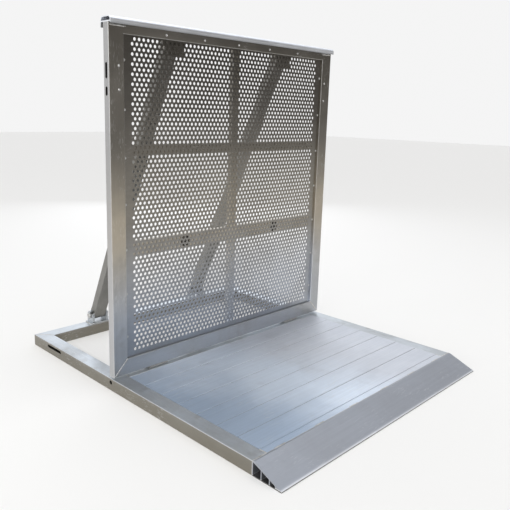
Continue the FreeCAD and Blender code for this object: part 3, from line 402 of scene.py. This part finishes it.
def plainMaterial(name):
    look = plainFinishes[name]
    material, tree, shader = startMaterial(name, look["metallic"])
    clouds = useGroup(tree, handlingClouds, Scale=look["clouds"], Spread=marks["plainSpread"])
    colour = mixColour(tree, clouds.outputs["Mask"], *look["colours"])
    roughness = mathNode(tree, "MULTIPLY_ADD", clouds.outputs[look["dullest"]],
                         marks["plainRoughness"], look["roughness"])
    grit = noise(tree, objectPlace(tree), look["grit"], look["gritDetail"])
    finishMaterial(tree, shader, colour, roughness, grit, look["bump"], look["bumpDepth"])
    return material


rubber, weldMetal = plainMaterial("padRubber"), plainMaterial("weldBead")
boltSteel = metalMaterial("boltSteel", "steel", "x")
sheetMetal = metalMaterial("perforatedSheetMetal", "sheet", "x")

# looks on the frame's own nodes, painted reflection, highlight and shade included

print("dressing the frame")
# the posts take the frame's colours, with painted light on their outer end faces
surfaceLooksAndPaintedLight["post"] = dict(surfaceLooksAndPaintedLight["frame"], paintedLightEndFace=(0.50, 0.50, 0.505))
tubeFinish = {
    "side_tube_left": ("base", "y"), "side_tube_right": ("base", "y"), "rear_crossbar": ("base", "x"),
    "hinge_crossbar": ("base", "x"), "front_crossbar": ("deck", "x"), "front_ramp": ("ramp", "x"),
    "deck_ledger_left": ("base", "y"), "deck_ledger_right": ("base", "y"),
    "post_left": ("post", "z"), "post_right": ("post", "z"), "top_rail": ("frame", "x"),
    "bottom_rail": ("frame", "x"), "mid_rail": ("frame", "x"), "lower_rail": ("frame", "x"),
    "centre_stile_lower": ("frame", "z"), "centre_stile_middle": ("frame", "z"),
    "centre_stile_upper": ("frame", "z"), "handrail": ("handrail", "x"),
    "sheet_bead_left": ("frame", "z"), "sheet_bead_right": ("frame", "z"),
    "foot_bracket_left": ("base", "x"), "foot_bracket_right": ("base", "x"),
    "strut_bracket_left": ("frame", "x"), "strut_bracket_right": ("frame", "x"),
    "strut_rest_left": ("frame", "x"), "strut_rest_right": ("frame", "x"),
}
for name, cadNode in nodes.items():
    if name in tubeFinish:
        material = metalMaterial(name + "Finish", *tubeFinish[name], *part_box(name))
    elif name.startswith("deck_plank"):
        material = metalMaterial(name + "Finish", "deck", "x", *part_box(name))
    elif name.startswith("strut_t") or name.startswith("strut_foot"):
        material = bpy.data.materials.get("strutFinish") or metalMaterial("strutFinish", "strut", "z")
    elif name == "strut_rest_pads":
        material = rubber
    else:
        material = boltSteel
    cadNode.data.materials.clear()
    cadNode.data.materials.append(material)


# geometry node trees

def placeObject(name, data):
    made = bpy.data.objects.new(name, data)
    bpy.context.scene.collection.objects.link(made)
    return made


def emptyHost(name, vertices=(), edges=()):
    mesh = bpy.data.meshes.new(name)
    mesh.from_pydata([tuple(v) for v in vertices], list(edges), [])
    return placeObject(name, mesh)


def runTree(host, tree, values):
    modifier = host.modifiers.new(tree.name, "NODES")
    modifier.node_group = tree
    sockets = {item.name: item.identifier for item in tree.interface.items_tree
               if item.item_type == "SOCKET" and item.in_out == "INPUT"}
    for name, value in values.items():
        modifier[sockets[name]] = value


def bakeHost(host, name):
    # the evaluated result becomes a plain mesh, and the modifier goes
    graph = bpy.context.evaluated_depsgraph_get()
    mesh = bpy.data.meshes.new_from_object(host.evaluated_get(graph))
    mesh.name = name
    host.modifiers.clear()
    bpy.data.objects.remove(host)
    return placeObject(name, mesh)


def paintedOutput(tree, outs, geometry, material):
    real = addNode(tree, "GeometryNodeRealizeInstances", {"Geometry": geometry})
    painted = addNode(tree, "GeometryNodeSetMaterial",
                      {"Geometry": real.outputs[0], "Material": material})
    tree.links.new(painted.outputs[0], outs.inputs["Geometry"])
    return tree


def perforatedTree():
    tree, ins, outs = newGroup("perforatedSheet", "GeometryNodeTree", [
        ("Width", "NodeSocketFloat", 0.9), ("Height", "NodeSocketFloat", 0.96),
        ("Thickness", "NodeSocketFloat", 0.002), ("Hole Radius", "NodeSocketFloat", 0.005),
        ("Pitch", "NodeSocketFloat", 0.016), ("Columns", "NodeSocketInt", 53),
        ("Rows", "NodeSocketInt", 68),
        ("First Row", "NodeSocketFloat", 0.022), ("Hole Sides", "NodeSocketInt", 12),
        ("Merge Distance", "NodeSocketFloat", 0.00001), ("Middle", "NodeSocketVector", (0, 0, 0)),
        ("Material", "NodeSocketMaterial", None)],
        [("Geometry", "NodeSocketGeometry")])
    get = ins.outputs
    rowPitch = mathNode(tree, "MULTIPLY", get["Pitch"], math.sqrt(3) / 2)
    pairHeight = mathNode(tree, "MULTIPLY", rowPitch, 2.0)
    pairs = mathNode(tree, "DIVIDE", get["Rows"], 2.0)
    # one pair of staggered rows is filled between its holes, and the pairs are stacked
    outline = addNode(tree, "GeometryNodeCurvePrimitiveQuadrilateral",
                      {"Width": get["Width"], "Height": pairHeight})
    ring = addNode(tree, "GeometryNodeCurvePrimitiveCircle",
                   {"Resolution": get["Hole Sides"], "Radius": get["Hole Radius"]})
    joined = tree.nodes.new("GeometryNodeJoinGeometry")
    for odd in (0, 1):
        columns = mathNode(tree, "SUBTRACT", get["Columns"], float(odd))
        half = mathNode(tree, "MULTIPLY", mathNode(tree, "SUBTRACT", columns, 1.0),
                        mathNode(tree, "MULTIPLY", get["Pitch"], -0.5))
        rowY = mathNode(tree, "MULTIPLY", rowPitch, odd - 0.5)
        start = addNode(tree, "ShaderNodeCombineXYZ", {"X": half, "Y": rowY})
        row = addNode(tree, "GeometryNodeMeshLine", {
            "Count": columns, "Start Location": start.outputs[0], "Offset": alongX(tree, get["Pitch"])})
        holes = addNode(tree, "GeometryNodeInstanceOnPoints", {"Points": row.outputs[0],
                                                               "Instance": ring.outputs[0]})
        tree.links.new(holes.outputs[0], joined.inputs[0])
    tree.links.new(outline.outputs[0], joined.inputs[0])
    loose = addNode(tree, "GeometryNodeRealizeInstances", {"Geometry": joined.outputs[0]})
    pair = addNode(tree, "GeometryNodeFillCurve", {"Curve": loose.outputs[0]})
    bottom = mathNode(tree, "MULTIPLY", get["Height"], -0.5)
    firstEdge = mathNode(tree, "ADD", bottom, mathNode(tree, "SUBTRACT", get["First Row"],
                                                       mathNode(tree, "MULTIPLY", rowPitch, 0.5)))
    lastEdge = mathNode(tree, "MULTIPLY_ADD", pairs, pairHeight, firstEdge)
    firstMiddle = mathNode(tree, "ADD", firstEdge, rowPitch)
    stack = addNode(tree, "GeometryNodeMeshLine", {
        "Count": pairs, "Start Location": alongY(tree, firstMiddle),
        "Offset": alongY(tree, pairHeight)})
    stacked = addNode(tree, "GeometryNodeInstanceOnPoints", {"Points": stack.outputs[0],
                                                             "Instance": pair.outputs[0]})
    plate = tree.nodes.new("GeometryNodeJoinGeometry")
    tree.links.new(stacked.outputs[0], plate.inputs[0])
    top = mathNode(tree, "MULTIPLY", get["Height"], 0.5)
    for low, high in ((bottom, firstEdge), (lastEdge, top)):
        strip = addNode(tree, "GeometryNodeMeshGrid", {
            "Vertices X": 2, "Vertices Y": 2, "Size X": get["Width"],
            "Size Y": mathNode(tree, "SUBTRACT", high, low)})
        centre = mathNode(tree, "MULTIPLY", mathNode(tree, "ADD", low, high), 0.5)
        moved = addNode(tree, "GeometryNodeTransform", {"Geometry": strip.outputs["Mesh"],
                                                        "Translation": alongY(tree, centre)})
        tree.links.new(moved.outputs[0], plate.inputs[0])
    whole = addNode(tree, "GeometryNodeRealizeInstances", {"Geometry": plate.outputs[0]})
    face = addNode(tree, "GeometryNodeMergeByDistance", {"Geometry": whole.outputs[0],
                                                         "Distance": get["Merge Distance"]})
    thick = addNode(tree, "GeometryNodeExtrudeMesh", {
        "Mesh": face.outputs[0], "Offset": (0, 0, 1), "Offset Scale": get["Thickness"],
        "Individual": False})
    flipped = addNode(tree, "GeometryNodeFlipFaces", {"Mesh": face.outputs[0]})
    shell = tree.nodes.new("GeometryNodeJoinGeometry")
    tree.links.new(thick.outputs[0], shell.inputs[0])
    tree.links.new(flipped.outputs[0], shell.inputs[0])
    welded = addNode(tree, "GeometryNodeMergeByDistance", {"Geometry": shell.outputs[0],
                                                           "Distance": get["Merge Distance"]})
    stood = addNode(tree, "GeometryNodeTransform", {"Geometry": welded.outputs[0],
                                                    "Rotation": (math.pi / 2, 0, 0)})
    placed = addNode(tree, "GeometryNodeTransform", {"Geometry": stood.outputs[0],
                                                     "Translation": get["Middle"]})
    return paintedOutput(tree, outs, placed.outputs[0], get["Material"])


print("punching the sheet")
sheet = {"holeRadius": 0.005, "pitch": 0.016, "columns": 53, "rows": 68, "firstRow": 0.022,
         "holeSides": 12, "mergeDistance": 0.00001}
low, high, middle = nodeBox("perforated_sheet")
host = emptyHost("sheetHost")
runTree(host, perforatedTree(), {
    "Width": high.x - low.x, "Height": high.z - low.z, "Thickness": high.y - low.y,
    "Hole Radius": sheet["holeRadius"], "Pitch": sheet["pitch"], "Columns": sheet["columns"],
    "Rows": sheet["rows"], "First Row": sheet["firstRow"], "Hole Sides": sheet["holeSides"],
    "Merge Distance": sheet["mergeDistance"], "Middle": (middle.x, high.y, middle.z),
    "Material": sheetMetal})
sheetPiece = bakeHost(host, "punchedSheet")
print("  sheet faces", len(sheetPiece.data.polygons))
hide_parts("perforated_sheet")
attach(sheetPiece, "upright")


# rivets and screws

def turns(count):
    # equal angles round a circle
    return [2 * math.pi * i / count for i in range(count)]


def lathe(name, profile, segments):
    # a head turned from (radius, height) pairs, standing on the XY plane and closed at its last point
    shape = bmesh.new()
    rings = []
    for radius, height in profile:
        if radius == 0:
            rings.append([shape.verts.new((0, 0, height))])
        else:
            rings.append([shape.verts.new((radius * math.cos(angle), radius * math.sin(angle), height))
                          for angle in turns(segments)])
    for lower, upper in zip(rings, rings[1:]):
        for i in range(segments):
            j = (i + 1) % segments
            if len(upper) == 1:
                shape.faces.new((lower[i], lower[j], upper[0]))
            else:
                shape.faces.new((lower[i], lower[j], upper[j], upper[i]))
    bmesh.ops.recalc_face_normals(shape, faces=shape.faces)
    mesh = bpy.data.meshes.new(name)
    shape.to_mesh(mesh)
    shape.free()
    mesh.shade_smooth()
    return bpy.data.objects.new(name, mesh)


def headLineTree():
    tree, ins, outs = newGroup("headsOnPoints", "GeometryNodeTree", [
        ("Geometry", "NodeSocketGeometry", None), ("Head", "NodeSocketObject", None),
        ("Facing", "NodeSocketVector", (math.pi / 2, 0, 0)), ("Seed", "NodeSocketInt", 3),
        ("Material", "NodeSocketMaterial", None)], [("Geometry", "NodeSocketGeometry")])
    head = addNode(tree, "GeometryNodeObjectInfo", {"Object": ins.outputs["Head"]})
    spin = addNode(tree, "FunctionNodeRandomValue",
                   {0: (0, 0, 0), 1: (0, 0, 2 * math.pi), "Seed": ins.outputs["Seed"]},
                   data_type="FLOAT_VECTOR")
    facing = addNode(tree, "FunctionNodeEulerToRotation", {0: ins.outputs["Facing"]})
    spun = addNode(tree, "FunctionNodeEulerToRotation", {0: spin.outputs[0]})
    turned = addNode(tree, "FunctionNodeRotateRotation",
                     {"Rotation": facing.outputs[0], "Rotate By": spun.outputs[0]},
                     rotation_space="LOCAL")
    heads = addNode(tree, "GeometryNodeInstanceOnPoints", {
        "Points": ins.outputs["Geometry"], "Instance": head.outputs["Geometry"],
        "Rotation": turned.outputs[0]})
    return paintedOutput(tree, outs, heads.outputs[0], ins.outputs["Material"])


print("setting rivets and screws")
# rim is a height in metres; a profile gives radius and height as shares of the head's own
heads = {"radius": 0.004, "height": 0.0018, "sides": 16, "seed": 5,
         "sheetRivetsEachSide": 7, "railScrews": 5, "postRivetsEachSide": 2,
         "rivetRim": 0.0003, "screwRim": 0.0004,
         "rivetProfile": ((0.86, 0.62), (0.55, 0.93), (0.3, 1), (0.26, 0.7), (0, 0.62)),
         "screwProfile": ((0.9, 0.7), (0.7, 1), (0.46, 1), (0.42, 0.35), (0, 0.3))}


def makeHead(name, kind):
    radius, height = heads["radius"], heads["height"]
    profile = [(radius, 0), (radius, heads[kind + "Rim"])]
    profile += [(radius * across, height * up) for across, up in heads[kind + "Profile"]]
    return lathe(name, profile, heads["sides"])


rivetHead, screwHead = makeHead("rivetHead", "rivet"), makeHead("screwHead", "screw")
headTree = headLineTree()


def spread(low, high, count):
    return [low + (high - low) * i / (count - 1) for i in range(count)]


def setHeads(nodeName, points, head, pieceName):
    host = emptyHost(pieceName + "Host", points)
    runTree(host, headTree, {"Head": head, "Seed": heads["seed"], "Facing": (math.pi / 2, 0, 0),
                             "Material": boltSteel})
    piece = bakeHost(host, pieceName)
    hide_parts(nodeName)
    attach(piece, "upright")


inset = heads["radius"]
for nodeName, count, pieceName in (
        ("sheet_rivets", heads["sheetRivetsEachSide"], "sheetRivets"),
        ("post_rivets", heads["postRivetsEachSide"], "postRivets")):
    low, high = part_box(nodeName)
    setHeads(nodeName, [(x, high.y, z) for x in (low.x + inset, high.x - inset)
                        for z in spread(low.z + inset, high.z - inset, count)], rivetHead, pieceName)
low, high, middle = nodeBox("handrail_screws")
setHeads("handrail_screws",
         [(x, high.y, middle.z) for x in spread(low.x + inset, high.x - inset, heads["railScrews"])],
         screwHead, "handrailScrews")


# pivot and foot bolts with chamfered heads and threads, and their nuts

# the last five are shares: of the chamfer, of the flats' or corners' distance, and of the shank
bolts = {"headRadius": 0.011, "headHeight": 0.007, "shankRadius": 0.006, "threadPitch": 0.00175,
         "threadDepth": 0.0005, "threadLength": 0.016, "chamfer": 0.0012, "hexSides": 24,
         "shankSides": 20, "underChamfer": 0.35, "underFlat": 0.97, "corner": 0.985, "faceFlat": 0.95,
         "bore": 1.02}


def hexRing(shape, radius, x, limit):
    # a hexagon's outline held inside a circle, which gives the chamfered corners
    ring = []
    for angle in turns(bolts["hexSides"]):
        fromFlat = (angle + math.pi / 6) % (math.pi / 3) - math.pi / 6
        reach = min(radius * math.cos(math.pi / 6) / math.cos(fromFlat), limit)
        ring.append(shape.verts.new((x, reach * math.cos(angle), reach * math.sin(angle))))
    return ring


def roundRing(shape, radius, x, count):
    return [shape.verts.new((x, radius * math.cos(angle), radius * math.sin(angle)))
            for angle in turns(count)]


def bridge(shape, first, second):
    for i in range(len(first)):
        j = (i + 1) % len(first)
        shape.faces.new((first[i], first[j], second[j], second[i]))


def hexBlock(shape, x0, x1, bore=None):
    # a chamfered hexagon between two places on x, bored through for a nut
    radius, chamfer = bolts["headRadius"], bolts["chamfer"]
    corner, flat = radius * bolts["corner"], radius * math.cos(math.pi / 6)
    sign = 1 if x1 > x0 else -1
    rings = [hexRing(shape, radius, x, limit) for x, limit in (
        (x0, flat * bolts["underFlat"]), (x0 + sign * chamfer * bolts["underChamfer"], corner),
        (x1 - sign * chamfer, corner), (x1, flat * bolts["faceFlat"]))]
    for first, second in zip(rings, rings[1:]):
        bridge(shape, first, second)
    if bore:
        inner = [roundRing(shape, bore, x, bolts["hexSides"]) for x in (x0, x1)]
        bridge(shape, rings[0], inner[0])
        bridge(shape, rings[-1], inner[1])
        bridge(shape, *inner)
    else:
        shape.faces.new(rings[0])
        shape.faces.new(rings[-1])


def threadedShank(shape, x0, x1, threadFrom):
    # plain shank, then ridges to the tail and a small chamfer
    radius, depth, pitch = bolts["shankRadius"], bolts["threadDepth"], bolts["threadPitch"]
    sign = 1 if x1 > x0 else -1
    stations = [(x0, radius), (threadFrom, radius)]
    count = max(1, int(abs(x1 - threadFrom) / pitch))
    for i in range(count):
        crest = radius if i + 1 < count else radius - depth
        stations.append((threadFrom + sign * pitch * (i + 0.5), radius - depth))
        stations.append((threadFrom + sign * pitch * (i + 1), crest))
    stations.append((x1, radius - 2 * depth))
    rings = [roundRing(shape, reach, x, bolts["shankSides"]) for x, reach in stations]
    for first, second in zip(rings, rings[1:]):
        bridge(shape, first, second)
    shape.faces.new(rings[0])
    shape.faces.new(rings[-1])


def meshPiece(shape, name, material):
    mesh = bpy.data.meshes.new(name)
    shape.to_mesh(mesh)
    shape.free()
    mesh.materials.append(material)
    return placeObject(name, mesh)


def steelPiece(shape, name, middle, body, replaced):
    bmesh.ops.recalc_face_normals(shape, faces=shape.faces)
    bmesh.ops.translate(shape, verts=shape.verts, vec=Vector((0, middle.y, middle.z)))
    piece = meshPiece(shape, name, boltSteel)
    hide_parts(replaced)
    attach(piece, body)


print("turning the bolts")
boreRadius = bolts["shankRadius"] * bolts["bore"]
for side, sign in zip(sides, (-1, 1)):
    for label, pieceName, body in (("pivot_bolt", "pivotBoltTurned", "upright"),
                                   ("foot_bolt", "footBoltTurned", "strut_" + side)):
        low, high, middle = nodeBox(f"{label}_{side}")
        outer, tail = (low.x, high.x) if sign < 0 else (high.x, low.x)
        shape = bmesh.new()
        under = outer - sign * bolts["headHeight"]
        hexBlock(shape, under, outer)
        threadedShank(shape, under, tail, tail + sign * bolts["threadLength"])
        steelPiece(shape, f"{pieceName}_{side}", middle, body, f"{label}_{side}")
    low, high, middle = nodeBox(f"foot_nut_{side}")
    near, far = (high.x, low.x) if sign > 0 else (low.x, high.x)
    shape = bmesh.new()
    hexBlock(shape, near, far, bore=boreRadius)
    steelPiece(shape, f"footNutTurned_{side}", middle, "strut_" + side, f"foot_nut_{side}")
low, high, middle = nodeBox("pivot_nuts")
shape = bmesh.new()
hexBlock(shape, low.x + bolts["headHeight"], low.x, bore=boreRadius)
hexBlock(shape, high.x - bolts["headHeight"], high.x, bore=boreRadius)
steelPiece(shape, "pivotNutsTurned", middle, "upright", "pivot_nuts")


# tongues in the joints between the planks

print("closing the plank joints")
tongue = {"below": 0.0005, "depth": 0.006, "margin": 0.0003, "endGap": 0.001, "bevel": 0.0001}
planks = sorted((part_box(name) for name in nodes if name.startswith("deck_plank")),
                key=lambda box: box[0].y)
tongues = bmesh.new()
for (low, high), following in zip(planks, planks[1:]):
    top = high.z - tongue["below"]
    start = Vector((low.x + tongue["endGap"], high.y - tongue["margin"], top - tongue["depth"]))
    end = Vector((high.x - tongue["endGap"], following[0].y + tongue["margin"], top))
    cube = bmesh.ops.create_cube(tongues, size=1.0)["verts"]
    bmesh.ops.scale(tongues, verts=cube, vec=end - start)
    bmesh.ops.translate(tongues, verts=cube, vec=(start + end) / 2)
bmesh.ops.bevel(tongues, geom=tongues.edges[:], offset=tongue["bevel"], segments=1, affect="EDGES")
tonguePiece = meshPiece(tongues, "plankTongues", metalMaterial("plankTongueFinish", "joint", "x"))
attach(tonguePiece, "base")


# weld beads

# lengths in metres, but for lipEnds, which are shares of the posts' inner place; swell and uneven are
# (gain, offset) of a bead's girth
welds = {"radius": 0.0026, "uprightRadius": 0.0032, "ripple": 0.0030, "wander": 0.0005, "seed": 4.0,
         "wobbleScale": 180.0, "sides": 8, "swell": (0.35, 0.82), "uneven": (0.5, 0.75),
         "sink": 0.0010, "edgeInset": 0.0045, "cornerInset": 0.003, "lipGap": 0.007,
         "lipEnds": (0.99, 0.995, 0.985), "railInset": 0.002, "footInset": 0.0032, "proud": 0.0003,
         "rampEnds": (0.452, 0.499), "tacks": 6, "tackReach": 0.40, "tackHalf": 0.02}


def weldTree():
    tree, ins, outs = newGroup("weldBeads", "GeometryNodeTree", [
        ("Geometry", "NodeSocketGeometry", None), ("Radius", "NodeSocketFloat", 0.0026),
        ("Ripple", "NodeSocketFloat", 0.0030), ("Wander", "NodeSocketFloat", 0.0005),
        ("Seed", "NodeSocketFloat", 4.0), ("Low Limit", "NodeSocketVector", (-1, -1, 0)),
        ("High Limit", "NodeSocketVector", (1, 1, 2)), ("Material", "NodeSocketMaterial", None)],
        [("Geometry", "NodeSocketGeometry")])
    get = ins.outputs
    line = addNode(tree, "GeometryNodeMeshToCurve", {"Mesh": get["Geometry"]})
    steps = addNode(tree, "GeometryNodeResampleCurve", {
        "Curve": line.outputs[0], "Length": mathNode(tree, "DIVIDE", get["Ripple"], 3.0)}, mode="LENGTH")
    place = tree.nodes.new("GeometryNodeInputPosition").outputs[0]
    wobble = addNode(tree, "ShaderNodeTexNoise", {
        "Vector": place, "Scale": welds["wobbleScale"], "Detail": 2.0, "W": get["Seed"]},
        noise_dimensions="4D")
    centred = vectorMath(tree, "SUBTRACT", wobble.outputs["Color"], (0.5, 0.5, 0.5))
    reach = mathNode(tree, "MULTIPLY", get["Wander"], 2.0)
    offset = addNode(tree, "ShaderNodeVectorMath", {0: centred, "Scale": reach}, operation="SCALE")
    moved = addNode(tree, "GeometryNodeSetPosition", {"Geometry": steps.outputs[0],
                                                      "Offset": offset.outputs[0]})
    # the bead swells once in each ripple, and unevenly
    along = tree.nodes.new("GeometryNodeSplineParameter").outputs["Length"]
    phase = mathNode(tree, "FRACT", mathNode(tree, "DIVIDE", along, get["Ripple"]))
    scallop = mathNode(tree, "MULTIPLY_ADD", mathNode(tree, "PINGPONG", phase, 0.5), *welds["swell"])
    uneven = mathNode(tree, "MULTIPLY_ADD", wobble.outputs["Fac"], *welds["uneven"])
    section = addNode(tree, "GeometryNodeCurvePrimitiveCircle",
                      {"Resolution": welds["sides"], "Radius": get["Radius"]})
    bead = addNode(tree, "GeometryNodeCurveToMesh", {
        "Curve": moved.outputs[0], "Profile Curve": section.outputs[0], "Fill Caps": True,
        "Scale": mathNode(tree, "MULTIPLY", scallop, uneven)})
    # the beads are ground off where something has to lie against them
    spot = tree.nodes.new("GeometryNodeInputPosition").outputs[0]
    for operation, limit in (("MAXIMUM", "Low Limit"), ("MINIMUM", "High Limit")):
        spot = vectorMath(tree, operation, spot, get[limit])
    dressed = addNode(tree, "GeometryNodeSetPosition", {"Geometry": bead.outputs[0], "Position": spot})
    smooth = addNode(tree, "GeometryNodeSetShadeSmooth", {"Geometry": dressed.outputs[0]})
    return paintedOutput(tree, outs, smooth.outputs[0], get["Material"])


print("laying the weld beads")
beads = {"base": [], "feet": [], "upright": []}


def seam(batch, *points):
    beads[batch].append([Vector(p) for p in points])


postLow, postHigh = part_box("post_left")
crossLow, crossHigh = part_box("rear_crossbar")
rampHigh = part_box("front_ramp")[1]
sideTop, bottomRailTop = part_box("side_tube_left")[1].z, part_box("bottom_rail")[1].z
topRailUnder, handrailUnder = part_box("top_rail")[0].z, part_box("handrail")[0].z
sink = welds["sink"]
front, rear, top = postLow.y + sink, postHigh.y - sink, sideTop - sink
lip = handrailUnder + welds["lipGap"]
lipEnd, blobStart, blobEnd = welds["lipEnds"]
for sign in (-1, 1):
    outer = sign * (abs(postLow.x) - welds["edgeInset"])
    inner = sign * (abs(postLow.x) - (postHigh.x - postLow.x))
    for face in (front, rear):
        seam("upright", (outer, face, postLow.z + welds["cornerInset"]), (inner, face, bottomRailTop))
    seam("upright", (outer, rear, postHigh.z - welds["cornerInset"]), (inner, rear, topRailUnder))
    seam("upright", (outer, front, lip), (inner * lipEnd, front, lip))
    seam("upright", (inner * blobStart, front, lip), (inner * blobEnd, front, lip))
    for railName in ("mid_rail", "lower_rail"):
        low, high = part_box(railName)
        end, back = sign * high.x, high.y - sink
        for z in (low.z, high.z):
            seam("upright", (end, back, z), (end, low.y + welds["railInset"], z))
        seam("upright", (end, back, low.z), (end, back, high.z))
    seam("base", (outer, crossHigh.y - welds["edgeInset"], top), (inner, crossLow.y, top))
    for barName in ("hinge_crossbar", "front_crossbar"):
        low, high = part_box(barName)
        seam("base", (sign * high.x, low.y, top), (sign * high.x, high.y, top))
for part in ("lower", "middle", "upper"):
    low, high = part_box("centre_stile_" + part)
    for z in (low.z, high.z):
        seam("upright", (low.x, high.y - sink, z), (high.x, high.y - sink, z))
plateFront, plateRear = crossLow.y + welds["footInset"], crossHigh.y - welds["footInset"]
for side in sides:
    low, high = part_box("strut_bracket_" + side)
    seam("upright", (low.x, postHigh.y, high.z), (high.x, postHigh.y, high.z))
    for x in (low.x, high.x):
        seam("upright", (x, postHigh.y, topRailUnder), (x, postHigh.y, high.z))
    low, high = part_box("foot_bracket_" + side)
    seam("feet", *[(x, y, crossHigh.z) for x, y in (
        (low.x, plateFront), (high.x, plateFront), (high.x, plateRear), (low.x, plateRear),
        (low.x, plateFront))])
near, far = welds["rampEnds"]
half = welds["tackHalf"]
rampSeams = [(-far, -near), (near, far)] + [
    (x - half, x + half) for x in spread(-welds["tackReach"], welds["tackReach"], welds["tacks"])]
for x0, x1 in rampSeams:
    seam("base", (x0, rampHigh.y, rampHigh.z - sink), (x1, rampHigh.y, rampHigh.z - sink))

weldNodes = weldTree()
roomLow, roomHigh = (Vector(corner) for corner in cadBox)
limits = {"base": (roomLow, Vector((roomHigh.x, roomHigh.y, sideTop + welds["proud"]))),
          "feet": (roomLow, roomHigh),
          "upright": (Vector((roomLow.x, postLow.y - welds["proud"], roomLow.z)), roomHigh)}
for batch, lines in beads.items():
    vertices, edges = [], []
    for line in lines:
        first = len(vertices)
        vertices += line
        edges += [(first + i, first + i + 1) for i in range(len(line) - 1)]
    host = emptyHost(f"welds_{batch}_host", vertices, edges)
    runTree(host, weldNodes, {
        "Radius": welds["uprightRadius" if batch == "upright" else "radius"],
        "Ripple": welds["ripple"], "Wander": welds["wander"], "Seed": welds["seed"],
        "Low Limit": limits[batch][0], "High Limit": limits[batch][1], "Material": weldMetal})
    piece = bakeHost(host, f"weldBeads_{batch}")
    print("  beads on", batch, len(piece.data.polygons))
    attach(piece, "upright" if batch == "upright" else "base")

# floor, light and camera

print("lighting")
studio = {"floorColour": (0.88, 0.875, 0.865), "floorRoughness": 0.85, "floorSize": 40.0,
          "skyTop": (0.93, 0.96, 1.01), "skyHorizon": (1.0, 1.0, 1.0), "skyRise": 0.7,
          "darkSide": (0.16, 0.15, 0.14), "darkTowards": (0.62, -0.76, 0.18), "darkEdge": (0.55, 0.95),
          "skyStrength": 0.92, "backdrop": (0.99, 0.99, 0.99), "roomFill": (0.62, 0.62, 0.62)}
floorMesh = bpy.data.meshes.new("studioFloor")
half = studio["floorSize"] / 2
floorMesh.from_pydata([(-half, -half, 0), (half, -half, 0), (half, half, 0), (-half, half, 0)], [],
                      [(0, 1, 2, 3)])
floor = placeObject("studioFloor", floorMesh)
floorPaint, _, floorShader = startMaterial("floorPaint", 0.0)
floorShader.inputs["Base Color"].default_value = (*studio["floorColour"], 1)
floorShader.inputs["Roughness"].default_value = studio["floorRoughness"]
floorMesh.materials.append(floorPaint)

world = bpy.data.worlds.new("studioWorld")
bpy.context.scene.world = world
world.use_nodes = True
tree = world.node_tree
background = tree.nodes["Background"]
direction = addNode(tree, "ShaderNodeTexCoord").outputs["Generated"]
rise = addNode(tree, "ShaderNodeSeparateXYZ", {"Vector": direction}).outputs["Z"]
sky = mixColour(tree, ramp(tree, rise, 0.0, studio["skyRise"]), studio["skyHorizon"], studio["skyTop"])
# a darker side of the room, in front of the upright and to its right
facing = addNode(tree, "ShaderNodeVectorMath", {0: direction, 1: studio["darkTowards"]},
                 operation="DOT_PRODUCT").outputs["Value"]
sky = mixColour(tree, ramp(tree, facing, *studio["darkEdge"]), sky, studio["darkSide"])
rays = addNode(tree, "ShaderNodeLightPath").outputs
sky = mixColour(tree, rays["Is Diffuse Ray"], sky, studio["roomFill"])
sky = mixColour(tree, rays["Is Camera Ray"], sky, studio["backdrop"])
tree.links.new(sky, background.inputs["Color"])
background.inputs["Strength"].default_value = studio["skyStrength"]

lamps = {
    "overheadPanel": {"place": (0.3, -0.2, 3.2), "aim": (0, 0, 0.2), "size": 2.6, "watts": 15,
                      "colour": (0.93, 0.96, 1.0)},
    "leftPanel": {"place": (-3.2, 0.4, 1.6), "aim": (0, 0, 0.5), "size": 1.8, "watts": 14,
                  "colour": (1.0, 0.98, 0.95)},
    "rearRightPanel": {"place": (2.0, 2.6, 1.5), "aim": (0, 0, 0.2), "size": 2.4, "watts": 12,
                       "colour": (0.90, 0.94, 1.0)},
}
# angles in degrees
sunlight = {"heading": 45, "rise": 33, "strength": 2.0, "spread": 14}
sun = bpy.data.lights.new("frontLight", "SUN")
sun.energy, sun.angle = sunlight["strength"], math.radians(sunlight["spread"])
sunObject = placeObject("frontLight", sun)
sunObject.rotation_euler = (math.radians(90 - sunlight["rise"]), 0, -math.radians(sunlight["heading"]))
for name, lamp in lamps.items():
    light = bpy.data.lights.new(name, "AREA")
    light.energy, light.size, light.color = lamp["watts"], lamp["size"], lamp["colour"]
    lampObject = placeObject(name, light)
    lampObject.location = lamp["place"]
    aim = Vector(lamp["aim"]) - Vector(lamp["place"])
    lampObject.rotation_euler = aim.to_track_quat("-Z", "Y").to_euler()

view = {"place": (-1.4459, -1.3830, 0.8470), "heading": 45.13, "tilt": 11.75, "roll": 1.507,
        "lens": 42.31, "sensor": 36.0, "shiftX": 0.0312, "shiftY": -0.0318, "clipStart": 0.05}
cameraData = bpy.data.cameras.new("viewCamera")
camera = placeObject("viewCamera", cameraData)
cameraData.sensor_width, cameraData.lens = view["sensor"], view["lens"]
cameraData.shift_x, cameraData.shift_y = view["shiftX"], view["shiftY"]
cameraData.clip_start = view["clipStart"]
turn = (Matrix.Rotation(-math.radians(view["heading"]), 4, "Z")
        @ Matrix.Rotation(math.radians(90 - view["tilt"]), 4, "X")
        @ Matrix.Rotation(math.radians(view["roll"]), 4, "Z"))
camera.matrix_world = Matrix.Translation(view["place"]) @ turn
bpy.context.scene.camera = camera
bpy.context.scene.view_settings.view_transform = "Standard"
